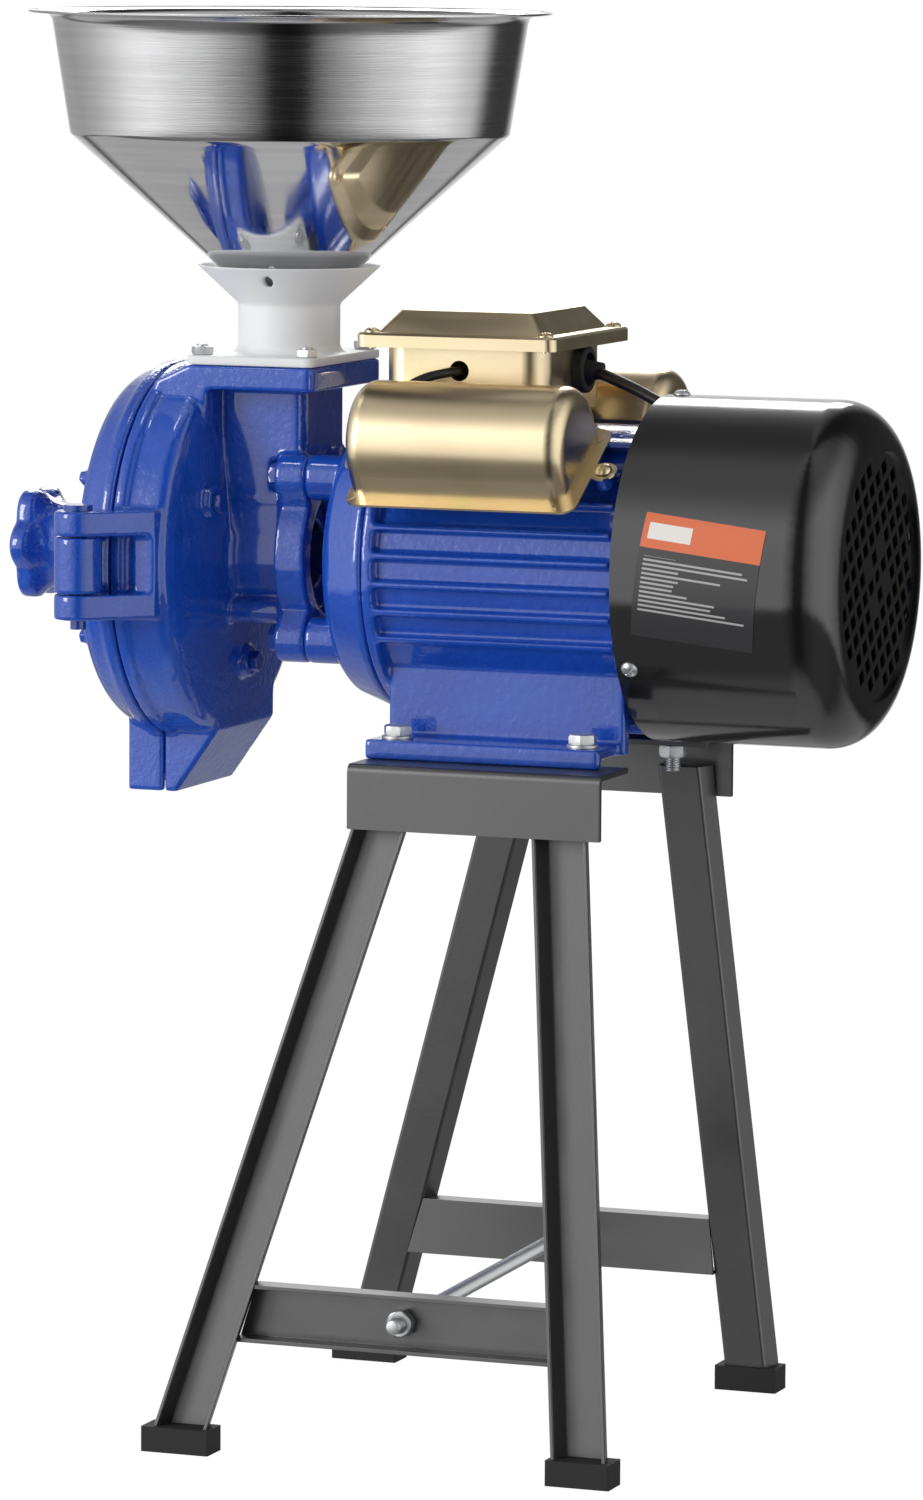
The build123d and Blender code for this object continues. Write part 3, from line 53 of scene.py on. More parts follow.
log = logging.getLogger("disc_mill")

MM = 0.001
UP = Vector((0.0, 0.0, 1.0))
ROOT_BODY = "stand_motor_mill"
CREST_SHARE = 0.55  # depth of a thread's groove, as a share of its pitch
HEX_SHARP = 28.0  # edges of bolt heads stay sharp from this angle, in degrees


# ---- small tools for shader nodes ------------------------------------------------------


class Graph:
    """A node tree with short ways to add and join nodes."""

    def __init__(self, tree: bpy.types.NodeTree) -> None:
        """Keeps the tree.

        Args:
            tree: the node tree to build in.
        """
        self.tree = tree

    def add(self, kind: str, values: dict | None = None, **props: object) -> bpy.types.Node:
        """Adds one node.

        Args:
            kind: the node's class name without its ShaderNode prefix.
            values: socket name or number to a constant or to an output socket.
            props: properties of the node itself.

        Returns:
            The new node.
        """
        node = self.tree.nodes.new("ShaderNode" + kind)
        for name, value in props.items():
            setattr(node, name, value)
        for key, value in (values or {}).items():
            if isinstance(value, bpy.types.NodeSocket):
                self.tree.links.new(value, node.inputs[key])
            else:
                node.inputs[key].default_value = value
        return node

    def place(self) -> bpy.types.NodeSocket:
        """The point's place in the row frame, in metres."""
        return self.add("TexCoord").outputs["Object"]

    def noise(self, scale: object, detail: float, **more: float) -> bpy.types.NodeSocket:
        """A noise over the row frame.

        Args:
            scale: its scale, a number or a socket.
            detail: its detail.
            **more: its other inputs by name.

        Returns:
            The noise's socket, 0 to 1.
        """
        values = {"Vector": self.place(), "Scale": scale, "Detail": detail, **more}
        return self.add("TexNoise", values).outputs[0]

    def feed(self, value: bpy.types.NodeSocket, node: bpy.types.Node, name: str) -> None:
        """Joins a socket to a node's named input."""
        self.tree.links.new(value, node.inputs[name])

    def maths(self, operation: str, *terms: object) -> bpy.types.NodeSocket:
        """One arithmetic step on numbers or sockets.

        Args:
            operation: the operation's name.
            terms: its inputs in order.

        Returns:
            The result's socket.
        """
        node = self.add("Math", dict(enumerate(terms)), operation=operation)
        return node.outputs[0]

    def ramp(self, value: bpy.types.NodeSocket, low: float, high: float,
             to_low: float = 0.0, to_high: float = 1.0) -> bpy.types.NodeSocket:
        """Maps a number from one range to another, held at the ends.

        Args:
            value: the number.
            low: start of the input range.
            high: end of the input range.
            to_low: result at low.
            to_high: result at high.

        Returns:
            The result's socket.
        """
        node = self.add("MapRange", {0: value, 1: low, 2: high, 3: to_low, 4: to_high},
                        interpolation_type="SMOOTHSTEP")
        return node.outputs[0]

    def blend(self, share: object, first: object, second: object) -> bpy.types.NodeSocket:
        """Mixes two colours.

        Args:
            share: how much of the second colour, a number or a socket.
            first: a colour or a socket.
            second: a colour or a socket.

        Returns:
            The mixed colour's socket.
        """
        node = self.add("Mix", data_type="RGBA")
        for key, value in ((0, share), (6, first), (7, second)):
            if isinstance(value, bpy.types.NodeSocket):
                self.tree.links.new(value, node.inputs[key])
            elif isinstance(value, tuple):
                node.inputs[key].default_value = (*value, 1.0)
            else:
                node.inputs[key].default_value = value
        return node.outputs[2]


def shared_effect(name: str, inputs: dict[str, tuple[str, object]],
                  outputs: list[str]) -> tuple[Graph, bpy.types.Node, bpy.types.Node]:
    """Starts a shader node group.

    Args:
        name: the group's name.
        inputs: input name to its socket kind and default.
        outputs: names of the float outputs.

    Returns:
        The group's graph, its input node and its output node.
    """
    tree = bpy.data.node_groups.new(name, "ShaderNodeTree")
    for title, (kind, default) in inputs.items():
        socket = tree.interface.new_socket(title, in_out="INPUT", socket_type=kind)
        socket.default_value = default
    for title in outputs:
        tree.interface.new_socket(title, in_out="OUTPUT", socket_type="NodeSocketFloat")
    entry = tree.nodes.new("NodeGroupInput")
    end = tree.nodes.new("NodeGroupOutput")
    return Graph(tree), entry, end


class Effects:
    """The shader node groups that several finishes share, each built once."""

    def __init__(self) -> None:
        """Builds every group."""
        self.relief = self._cast_relief()
        self.grain = self._drawn_grain()
        self.dust = self._settled_dust()
        self.wear = self._edge_wear()

    @staticmethod
    def _cast_relief() -> bpy.types.NodeTree:
        """Sand-cast surface under thick paint: broad lumps with fine pimples in patches."""
        number = "NodeSocketFloat"
        g, entry, end = shared_effect(
            "cast_relief",
            {"Lump Scale": (number, 90.0), "Pimple Scale": (number, 420.0),
             "Pimple Height": (number, 0.5), "Patchiness": (number, 0.5)},
            ["Height", "Patches"])
        lumps = g.noise(entry.outputs["Lump Scale"], 2.0, Roughness=0.5)
        pimples = g.noise(entry.outputs["Pimple Scale"], 1.5, Roughness=0.55)
        patches = g.ramp(g.noise(28.0, 2.0), 0.42, 0.6)
        base = g.maths("SUBTRACT", 1.0, entry.outputs["Patchiness"])
        share = g.maths("MULTIPLY_ADD", patches, entry.outputs["Patchiness"], base)
        fine = g.maths("MULTIPLY", pimples, entry.outputs["Pimple Height"])
        g.feed(g.maths("MULTIPLY_ADD", fine, share, lumps), end, "Height")
        g.feed(patches, end, "Patches")
        return g.tree

    @staticmethod
    def _drawn_grain() -> bpy.types.NodeTree:
        """Fine lines along one direction, as rolled or spun sheet shows."""
        g, entry, end = shared_effect(
            "drawn_grain",
            {"Vector": ("NodeSocketVector", (0.0, 0.0, 0.0)),
             "Stretch": ("NodeSocketVector", (30.0, 30.0, 1500.0))},
            ["Height", "Streaks"])
        place = g.add("Mapping", {"Vector": entry.outputs["Vector"],
                                  "Scale": entry.outputs["Stretch"]})
        lines = g.add("TexNoise", {"Vector": place.outputs[0], "Scale": 1.0, "Detail": 3.0,
                                   "Roughness": 0.65})
        broad = g.add("TexNoise", {"Vector": place.outputs[0], "Scale": 0.13, "Detail": 1.0})
        g.feed(lines.outputs[0], end, "Height")
        g.feed(g.ramp(broad.outputs[0], 0.35, 0.65), end, "Streaks")
        return g.tree

    @staticmethod
    def _settled_dust() -> bpy.types.NodeTree:
        """A light haze on what faces up, broken by noise."""
        g, entry, end = shared_effect(
            "settled_dust", {"Amount": ("NodeSocketFloat", 0.3)}, ["Mask"])
        up = g.add("SeparateXYZ", {0: g.add("NewGeometry").outputs["Normal"]}).outputs[2]
        lying = g.maths("MULTIPLY", g.ramp(up, 0.25, 0.95),
                        g.ramp(g.noise(60.0, 4.0), 0.35, 0.7))
        g.feed(g.maths("MULTIPLY", lying, entry.outputs["Amount"]), end, "Mask")
        return g.tree

    @staticmethod
    def _edge_wear() -> bpy.types.NodeTree:
        """A mask of outer edges, broken by noise."""
        g, entry, end = shared_effect(
            "edge_wear", {"Start": ("NodeSocketFloat", 0.53), "Full": ("NodeSocketFloat", 0.6)},
            ["Mask"])
        keen = g.add("NewGeometry").outputs["Pointiness"]
        edge = g.add("MapRange", {0: keen, 1: entry.outputs["Start"], 2: entry.outputs["Full"]})
        rub = g.ramp(g.noise(220.0, 3.0), 0.35, 0.6)
        g.feed(g.maths("MULTIPLY", edge.outputs[0], rub), end, "Mask")
        return g.tree


EFFECTS = Effects()


@dataclass(frozen=True)
class Finish:
    """What every finish has: a name and an even gloss.

    Attributes:
        name: the material's name.
        colour: its main colour.
        roughness: its usual roughness.
    """

    name: str
    colour: Colour
    roughness: float

    def start(self) -> tuple[Graph, bpy.types.Node]:
        """Makes the material with its shader.

        Returns:
            The material's graph and its Principled shader.
        """
        made = bpy.data.materials.new(self.name)
        made.use_nodes = True
        graph = Graph(made.node_tree)
        shader = made.node_tree.nodes["Principled BSDF"]
        shader.inputs["Base Color"].default_value = (*self.colour, 1.0)
        shader.inputs["Roughness"].default_value = self.roughness
        return graph, shader

    def bump(self, graph: Graph, shader: bpy.types.Node, height: bpy.types.NodeSocket,
             depth: float, strength: float = 1.0) -> None:
        """Feeds a height into the shader's normal.

        Args:
            graph: the material's graph.
            shader: its shader.
            height: the height's socket, about 0 to 1.
            depth: what a height of 1 means, in metres.
            strength: the bump's strength.
        """
        relief = graph.add("Bump", {"Height": height, "Distance": depth, "Strength": strength})
        graph.feed(relief.outputs[0], shader, "Normal")

    @staticmethod
    def effect(graph: Graph, group: bpy.types.NodeTree, values: dict) -> bpy.types.Node:
        """Places a shared effect in the material.

        Args:
            graph: the material's graph.
            group: the effect.
            values: its inputs by name.

        Returns:
            The group node.
        """
        node = graph.add("Group", node_tree=group)
        for key, value in values.items():
            if isinstance(value, bpy.types.NodeSocket):
                graph.tree.links.new(value, node.inputs[key])
            else:
                node.inputs[key].default_value = value
        return node

    def material(self) -> bpy.types.Material:
        """The plain form of the finish."""
        self.start()
        return bpy.data.materials[self.name]


@dataclass(frozen=True)
class CastEnamel(Finish):
    """Thick glossy paint over a sand casting.

    Attributes:
        shade: the paint's deeper colour, in clouds.
        lump_scale: scale of the broad lumps.
        pimple_scale: scale of the fine pimples.
        pimple_height: height of the pimples beside the lumps.
        patchiness: how far the pimples keep to patches.
        depth: height of the relief in metres.
        gloss: the clear top's roughness.
        top_index: the clear top's index of refraction.
    """

    shade: Colour = (0.004, 0.04, 0.32)
    lump_scale: float = 210.0
    pimple_scale: float = 640.0
    pimple_height: float = 0.6
    patchiness: float = 0.75
    depth: float = 0.0012
    gloss: float = 0.07
    top_index: float = 1.7

    def material(self) -> bpy.types.Material:
        """Builds the material.

        Returns:
            The material.
        """
        graph, shader = self.start()
        relief = self.effect(graph, EFFECTS.relief, {
            "Lump Scale": self.lump_scale, "Pimple Scale": self.pimple_scale,
            "Pimple Height": self.pimple_height, "Patchiness": self.patchiness})
        wear = self.effect(graph, EFFECTS.wear, {"Start": 0.54, "Full": 0.66})
        dust = self.effect(graph, EFFECTS.dust, {"Amount": 0.012})
        cloud = graph.ramp(graph.noise(17.0, 3.0), 0.3, 0.7, 0.0, 0.35)
        paint = graph.blend(cloud, self.colour, self.shade)
        worn = graph.blend(graph.maths("MULTIPLY", wear.outputs["Mask"], 0.25), paint,
                           tuple(min(1.0, c * 1.8 + 0.02) for c in self.colour))
        top = graph.blend(dust.outputs["Mask"], worn, (0.5, 0.5, 0.55))
        graph.feed(top, shader, "Base Color")
        graph.feed(graph.ramp(relief.outputs["Patches"], 0.0, 1.0, self.roughness,
                              self.roughness + 0.1), shader, "Roughness")
        shader.inputs["Specular IOR Level"].default_value = 0.15
        shader.inputs["Coat Weight"].default_value = 1.0
        shader.inputs["Coat Roughness"].default_value = self.gloss
        shader.inputs["Coat IOR"].default_value = self.top_index
        self.bump(graph, shader, relief.outputs["Height"], self.depth)
        return bpy.data.materials[self.name]


@dataclass(frozen=True)
class SheetPaint(Finish):
    """Smooth paint on pressed steel or plastic, with a faint orange peel.

    Attributes:
        peel_scale: scale of the orange peel.
        peel_depth: its height in metres.
        haze: how much dust lies on what faces up.
        flake: how metallic the paint is.
    """

    peel_scale: float = 320.0
    peel_depth: float = 0.00002
    haze: float = 0.06
    flake: float = 0.0

    def material(self) -> bpy.types.Material:
        """Builds the material.

        Returns:
            The material.
        """
        graph, shader = self.start()
        peel = graph.noise(self.peel_scale, 2.0)
        smear = graph.noise(24.0, 4.0)
        dust = self.effect(graph, EFFECTS.dust, {"Amount": self.haze})
        pale = tuple(min(1.0, c + 0.25) for c in self.colour)
        graph.feed(graph.blend(dust.outputs["Mask"], self.colour, pale), shader, "Base Color")
        graph.feed(graph.ramp(smear, 0.3, 0.7, self.roughness, self.roughness * 1.35),
                   shader, "Roughness")
        shader.inputs["Metallic"].default_value = self.flake
        self.bump(graph, shader, peel, self.peel_depth)
        return bpy.data.materials[self.name]


@dataclass(frozen=True)
class PassivatedSteel(Finish):
    """Yellow-passivated pressed steel: pale gold with pink and green clouds.

    Attributes:
        warm: the pink clouds' colour.
        green: the green clouds' colour.
        rubbed: the colour of rubbed edges.
    """

    warm: Colour = (0.74, 0.55, 0.40)
    green: Colour = (0.70, 0.66, 0.36)
    rubbed: Colour = (0.9, 0.86, 0.68)

    def material(self) -> bpy.types.Material:
        """Builds the material.

        Returns:
            The material.
        """
        graph, shader = self.start()
        pink = graph.ramp(graph.noise(14.0, 2.0, Distortion=0.6), 0.45, 0.75, 0.0, 0.45)
        moss = graph.ramp(graph.noise(23.0, 3.0, Distortion=1.2), 0.52, 0.8, 0.0, 0.45)
        grain = self.effect(graph, EFFECTS.grain, {
            "Vector": graph.place(), "Stretch": (120.0, 900.0, 900.0)})
        tint = graph.blend(pink, self.colour, self.warm)
        tint = graph.blend(moss, tint, self.green)
        wear = self.effect(graph, EFFECTS.wear, {"Start": 0.53, "Full": 0.62})
        tint = graph.blend(graph.maths("MULTIPLY", wear.outputs["Mask"], 0.5), tint,
                           self.rubbed)
        graph.feed(tint, shader, "Base Color")
        shader.inputs["Metallic"].default_value = 1.0
        graph.feed(graph.ramp(grain.outputs["Streaks"], 0.0, 1.0, self.roughness,
                              self.roughness + 0.03), shader, "Roughness")
        self.bump(graph, shader, grain.outputs["Height"], 0.000002)
        return bpy.data.materials[self.name]


@dataclass(frozen=True)
class SpunStainless(Finish):
    """Stainless sheet spun on a lathe: fine rings round an upright axis.

    Attributes:
        axis: the axis's X and Y.
        fold: height of the fold between the bright cone and the satin wall.
        wall_roughness: the satin wall's roughness.
    """

    axis: tuple[float, float] = (0.0, 0.0)
    fold: float = 0.0
    wall_roughness: float = 0.3

    def material(self) -> bpy.types.Material:
        """Builds the material.

        Returns:
            The material.
        """
        graph, shader = self.start()
        parts = graph.add("SeparateXYZ", {0: graph.place()})
        east = graph.maths("SUBTRACT", parts.outputs[0], self.axis[0])
        north = graph.maths("SUBTRACT", parts.outputs[1], self.axis[1])
        turn = graph.maths("ARCTAN2", north, east)
        rings = graph.add("CombineXYZ", {0: turn, 1: 0.0, 2: parts.outputs[2]})
        grain = self.effect(graph, EFFECTS.grain, {
            "Vector": rings.outputs[0], "Stretch": (3.0, 1.0, 1900.0)})
        wall = graph.ramp(parts.outputs[2], self.fold - 0.001, self.fold + 0.001)
        satin = graph.ramp(grain.outputs["Height"], 0.3, 0.7, self.wall_roughness - 0.05,
                           self.wall_roughness + 0.06)
        bright = graph.ramp(grain.outputs["Streaks"], 0.0, 1.0, self.roughness,
                            self.roughness + 0.05)
        rough = graph.add("Mix", {0: wall, 2: bright, 3: satin}, data_type="FLOAT")
        graph.feed(rough.outputs[0], shader, "Roughness")
        tint = graph.blend(graph.ramp(grain.outputs["Streaks"], 0.0, 1.0, 0.0, 0.3),
                           self.colour, (0.55, 0.55, 0.56))
        graph.feed(tint, shader, "Base Color")
        shader.inputs["Metallic"].default_value = 1.0
        height = graph.maths("MULTIPLY", grain.outputs["Height"],
                             graph.ramp(wall, 0.0, 1.0, 0.25, 1.0))
        self.bump(graph, shader, height, 0.00002)
        return bpy.data.materials[self.name]


@dataclass(frozen=True)
class PlainMetal(Finish):
    """Plated or bare metal with fine mottling.

    Attributes:
        mottle: the colour of its clouds.
        mottle_scale: scale of the fine spots.
        depth: height of the spots in metres.
    """

    mottle: Colour = (0.4, 0.4, 0.42)
    mottle_scale: float = 300.0
    depth: float = 0.00004

    def material(self) -> bpy.types.Material:
        """Builds the material.

        Returns:
            The material.
        """
        graph, shader = self.start()
        spots = graph.noise(self.mottle_scale, 4.0)
        broad = graph.ramp(graph.noise(self.mottle_scale / 6, 2.0), 0.35, 0.7, 0.0, 0.6)
        graph.feed(graph.blend(broad, self.colour, self.mottle), shader, "Base Color")
        graph.feed(graph.ramp(spots, 0.3, 0.7, self.roughness, self.roughness + 0.15),
                   shader, "Roughness")
        shader.inputs["Metallic"].default_value = 1.0
        self.bump(graph, shader, spots, self.depth)
        return bpy.data.materials[self.name]


@dataclass(frozen=True)
class MouldedRubber(Finish):
    """Rubber or soft plastic with a fine skin and some dust.

    Attributes:
        skin_scale: scale of the skin's grain.
        skin_depth: its height in metres.
        haze: how much dust lies on what faces up.
        dusty: the dust's colour.
    """

    skin_scale: float = 700.0
    skin_depth: float = 0.00008
    haze: float = 0.3
    dusty: Colour = (0.16, 0.155, 0.15)

    def material(self) -> bpy.types.Material:
        """Builds the material.

        Returns:
            The material.
        """
        graph, shader = self.start()
        skin = graph.noise(self.skin_scale, 3.0)
        dust = self.effect(graph, EFFECTS.dust, {"Amount": self.haze})
        graph.feed(graph.blend(dust.outputs["Mask"], self.colour, self.dusty), shader,
                   "Base Color")
        graph.feed(graph.ramp(skin, 0.3, 0.7, self.roughness - 0.08, self.roughness + 0.08),
                   shader, "Roughness")
        self.bump(graph, shader, skin, self.skin_depth)
        return bpy.data.materials[self.name]


@dataclass(frozen=True)
class PrintedLabel(Finish):
    """A label film with a coloured header and pale ruled lines.

    Attributes:
        middle: the label's centre in the row frame.
        tilt: how far its top edge drops, in degrees.
        size: its length and height in metres.
        header: the header's colour.
        header_height: the height of the coloured header.
        row: the height of one ruled row.
        side: the margin beside the rows.
    """

    middle: tuple[float, float] = (0.0, 0.0)
    tilt: float = 0.0
    size: tuple[float, float] = (0.064, 0.062)
    header: Colour = (0.78, 0.16, 0.05)
    header_height: float = 17.0 * MM
    row: float = 2.3 * MM
    side: float = 3.0 * MM

    def material(self) -> bpy.types.Material:
        """Builds the material.

        Returns:
            The material.
        """
        graph, shader = self.start()
        across, up = self.label_axes(graph)
        top, half = self.size[1] / 2, self.size[0] / 2
        inside = graph.maths("GREATER_THAN", across, -half + self.side)
        ink = graph.maths("MULTIPLY", self.rows(graph, across, up), inside)
        lined = graph.blend(graph.maths("MULTIPLY", ink, 0.55), self.colour,
                            (0.75, 0.75, 0.75))
        from_bar = graph.maths("ABSOLUTE", graph.maths(
            "SUBTRACT", up, top - self.header_height / 2))
        bar = graph.maths("MULTIPLY", graph.maths("LESS_THAN", across, -6.0 * MM),
                          graph.ramp(from_bar, 4.2 * MM, 3.8 * MM))
        head = graph.blend(graph.maths("MULTIPLY", bar, inside), self.header,
                           (0.88, 0.84, 0.8))
        edge = top - self.header_height
        graph.feed(graph.blend(graph.ramp(up, edge - 0.2 * MM, edge + 0.2 * MM), lined, head),
                   shader, "Base Color")
        shader.inputs["Coat Weight"].default_value = 0.3
        self.bump(graph, shader, graph.noise(500.0, 2.0), 0.00001)
        return bpy.data.materials[self.name]

    def label_axes(self, graph: Graph) -> tuple[bpy.types.NodeSocket, bpy.types.NodeSocket]:
        """How far across and up the label a point lies.

        Args:
            graph: the material's graph.

        Returns:
            The two sockets, in metres from the label's middle.
        """
        moved = graph.add("Mapping", {"Vector": graph.place(),
                                      "Location": (-self.middle[0], 0.0, -self.middle[1])})
        turned = graph.add("VectorRotate", {"Vector": moved.outputs[0],
                                            "Angle": math.radians(-self.tilt)},
                           rotation_type="Y_AXIS")
        parts = graph.add("SeparateXYZ", {0: turned.outputs[0]})
        return parts.outputs[0], parts.outputs[2]

    def rows(self, graph: Graph, across: bpy.types.NodeSocket,
             up: bpy.types.NodeSocket) -> bpy.types.NodeSocket:
        """A mask of ruled rows of uneven lengths below the header.

        Args:
            graph: the material's graph.
            across: how far across the label a point lies.
            up: how far up it lies.

        Returns:
            The mask's socket.
        """
        top, half = self.size[1] / 2, self.size[0] / 2
        wave = graph.maths("PINGPONG", up, self.row / 2)
        line = graph.ramp(wave, 0.55 * MM, 0.7 * MM)
        number = graph.maths("FLOOR", graph.maths("DIVIDE", up, self.row))
        chance = graph.add("TexWhiteNoise", {"W": number}, noise_dimensions="1D").outputs[0]
        reach = graph.ramp(chance, 0.0, 1.0, -12.0 * MM, half - 4.0 * MM)
        mask = graph.maths("MULTIPLY", line, graph.maths("LESS_THAN", across, reach))
        below = graph.maths("LESS_THAN", up, top - 21.0 * MM)
        above = graph.maths("GREATER_THAN", up, 12.0 * MM - top)
        return graph.maths("MULTIPLY", mask, graph.maths("MULTIPLY", below, above))


class Shop(Enum):
    """The finishes of the machine."""

    MILL_BLUE = CastEnamel("mill_blue", (0.012, 0.088, 0.54), 0.22)
    MOTOR_BLUE = CastEnamel("motor_blue", (0.012, 0.088, 0.54), 0.24, pimple_height=0.4,
                            patchiness=0.9, depth=0.0008)
    BOLT_BLUE = CastEnamel("bolt_blue", (0.008, 0.055, 0.38), 0.25, lump_scale=420.0,
                           pimple_scale=900.0, depth=0.0003)
    COVER_BLACK = SheetPaint("cover_black", (0.10, 0.10, 0.103), 0.11, haze=0.0, flake=0.9)
    STAND_BLACK = SheetPaint("stand_black", (0.15, 0.15, 0.152), 0.3, peel_scale=520.0,
                             peel_depth=0.00004, haze=0.03, flake=0.88)
    FUNNEL_GREY = SheetPaint("funnel_grey", (0.84, 0.85, 0.86), 0.38, peel_scale=210.0,
                             peel_depth=0.0001, haze=0.0)
    PALE_GOLD = PassivatedSteel("pale_gold", (0.84, 0.70, 0.46), 0.28)
    ZINC = PlainMetal("zinc", (0.72, 0.73, 0.74), 0.2, mottle=(0.5, 0.51, 0.53))
    MACHINED = PlainMetal("machined_steel", (0.36, 0.36, 0.37), 0.3)
    GREY_IRON = PlainMetal("grey_iron", (0.2, 0.2, 0.205), 0.5, depth=0.0003,
                           mottle=(0.12, 0.11, 0.1))
    COPPER = PlainMetal("copper", (0.65, 0.28, 0.14), 0.35)
    BLACK_RUBBER = MouldedRubber("black_rubber", (0.030, 0.030, 0.031), 0.5)
    LEAD_RUBBER = MouldedRubber("lead_rubber", (0.012, 0.012, 0.013), 0.38, haze=0.1)
    BLACK_PLASTIC = MouldedRubber("black_plastic", (0.025, 0.025, 0.027), 0.42, haze=0.15)
    PALE_PLASTIC = SheetPaint("pale_plastic", (0.7, 0.68, 0.62), 0.4)


_made: dict[str, bpy.types.Material] = {}


def finish_of(choice: Shop) -> bpy.types.Material:
    """The material of a finish, built the first time it is asked for.

    Args:
        choice: the finish.

    Returns:
        Its material.
    """
    if choice.name not in _made:
        _made[choice.name] = choice.value.material()
    return _made[choice.name]


# ---- small tools for meshes --------------------------------------------------------------


class Shaping(Enum):
    """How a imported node's edges are softened."""

    CAST = "cast"
    FINE_CAST = "fine cast"
    SHEET = "sheet"
    MACHINED = "machined"
    BARE = "bare"


def dress(node: str, finish: bpy.types.Material, shaping: Shaping) -> None:
    """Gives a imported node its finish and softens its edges.

    Args:
        node: the node's name.
        finish: its material.
        shaping: how its edges are softened.
    """
    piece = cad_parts[node]
    if piece.data.materials:
        for i in range(len(piece.material_slots)):
            piece.material_slots[i].link = "OBJECT"
            piece.material_slots[i].material = finish
    else:
        piece.data.materials.append(finish)
    soften(piece, shaping)


def soften(piece: bpy.types.Object, shaping: Shaping) -> None:
    """Adds the modifiers that soften a piece's edges.

    Args:
        piece: the object.
        shaping: how its edges are softened.
    """
    if shaping in (Shaping.CAST, Shaping.FINE_CAST):
        remesh = piece.modifiers.new("skin", "REMESH")
        remesh.mode = "VOXEL"
        remesh.voxel_size = 1.05 * MM if shaping is Shaping.CAST else 0.8 * MM
        remesh.use_smooth_shade = True
        smooth = piece.modifiers.new("soft", "SMOOTH")
        smooth.factor = 0.5
        smooth.iterations = 12 if shaping is Shaping.CAST else 6
        return
    weld = piece.modifiers.new("weld", "WELD")
    weld.merge_threshold = 0.01 * MM
    if shaping in (Shaping.SHEET, Shaping.MACHINED):
        bevel = piece.modifiers.new("bevel", "BEVEL")
        bevel.width = (0.45 if shaping is Shaping.SHEET else 0.6) * MM
        bevel.segments = 2
        bevel.limit_method = "ANGLE"
        bevel.angle_limit = math.radians(35)
        bevel.use_clamp_overlap = True
        bevel.harden_normals = False
    normals = piece.modifiers.new("normals", "WEIGHTED_NORMAL")
    normals.keep_sharp = True
    normals.weight = 60


def islands(node: str) -> list[tuple[Vector, Vector]]:
    """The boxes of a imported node's separate solids, in a steady order.

    Args:
        node: the node's name.

    Returns:
        A (lowest, highest) corner pair for each solid.
    """
    mesh = bmesh.new()
    mesh.from_mesh(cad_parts[node].data)
    bmesh.ops.remove_doubles(mesh, verts=mesh.verts, dist=1e-6)
    left = set(mesh.verts)
    found = []
    while left:
        seed = left.pop()
        queue, members = [seed], [seed.co.copy()]
        while queue:
            for edge in queue.pop().link_edges:
                for vert in edge.verts:
                    if vert in left:
                        left.discard(vert)
                        queue.append(vert)
                        members.append(vert.co.copy())
        low = Vector([min(c[i] for c in members) for i in range(3)])
        high = Vector([max(c[i] for c in members) for i in range(3)])
        found.append((low, high))
    mesh.free()
    return sorted(found, key=lambda pair: tuple(round(v, 4) for v in pair[0]))


def middle(pair: tuple[Vector, Vector]) -> Vector:
    """The middle of a box."""
    return (pair[0] + pair[1]) / 2


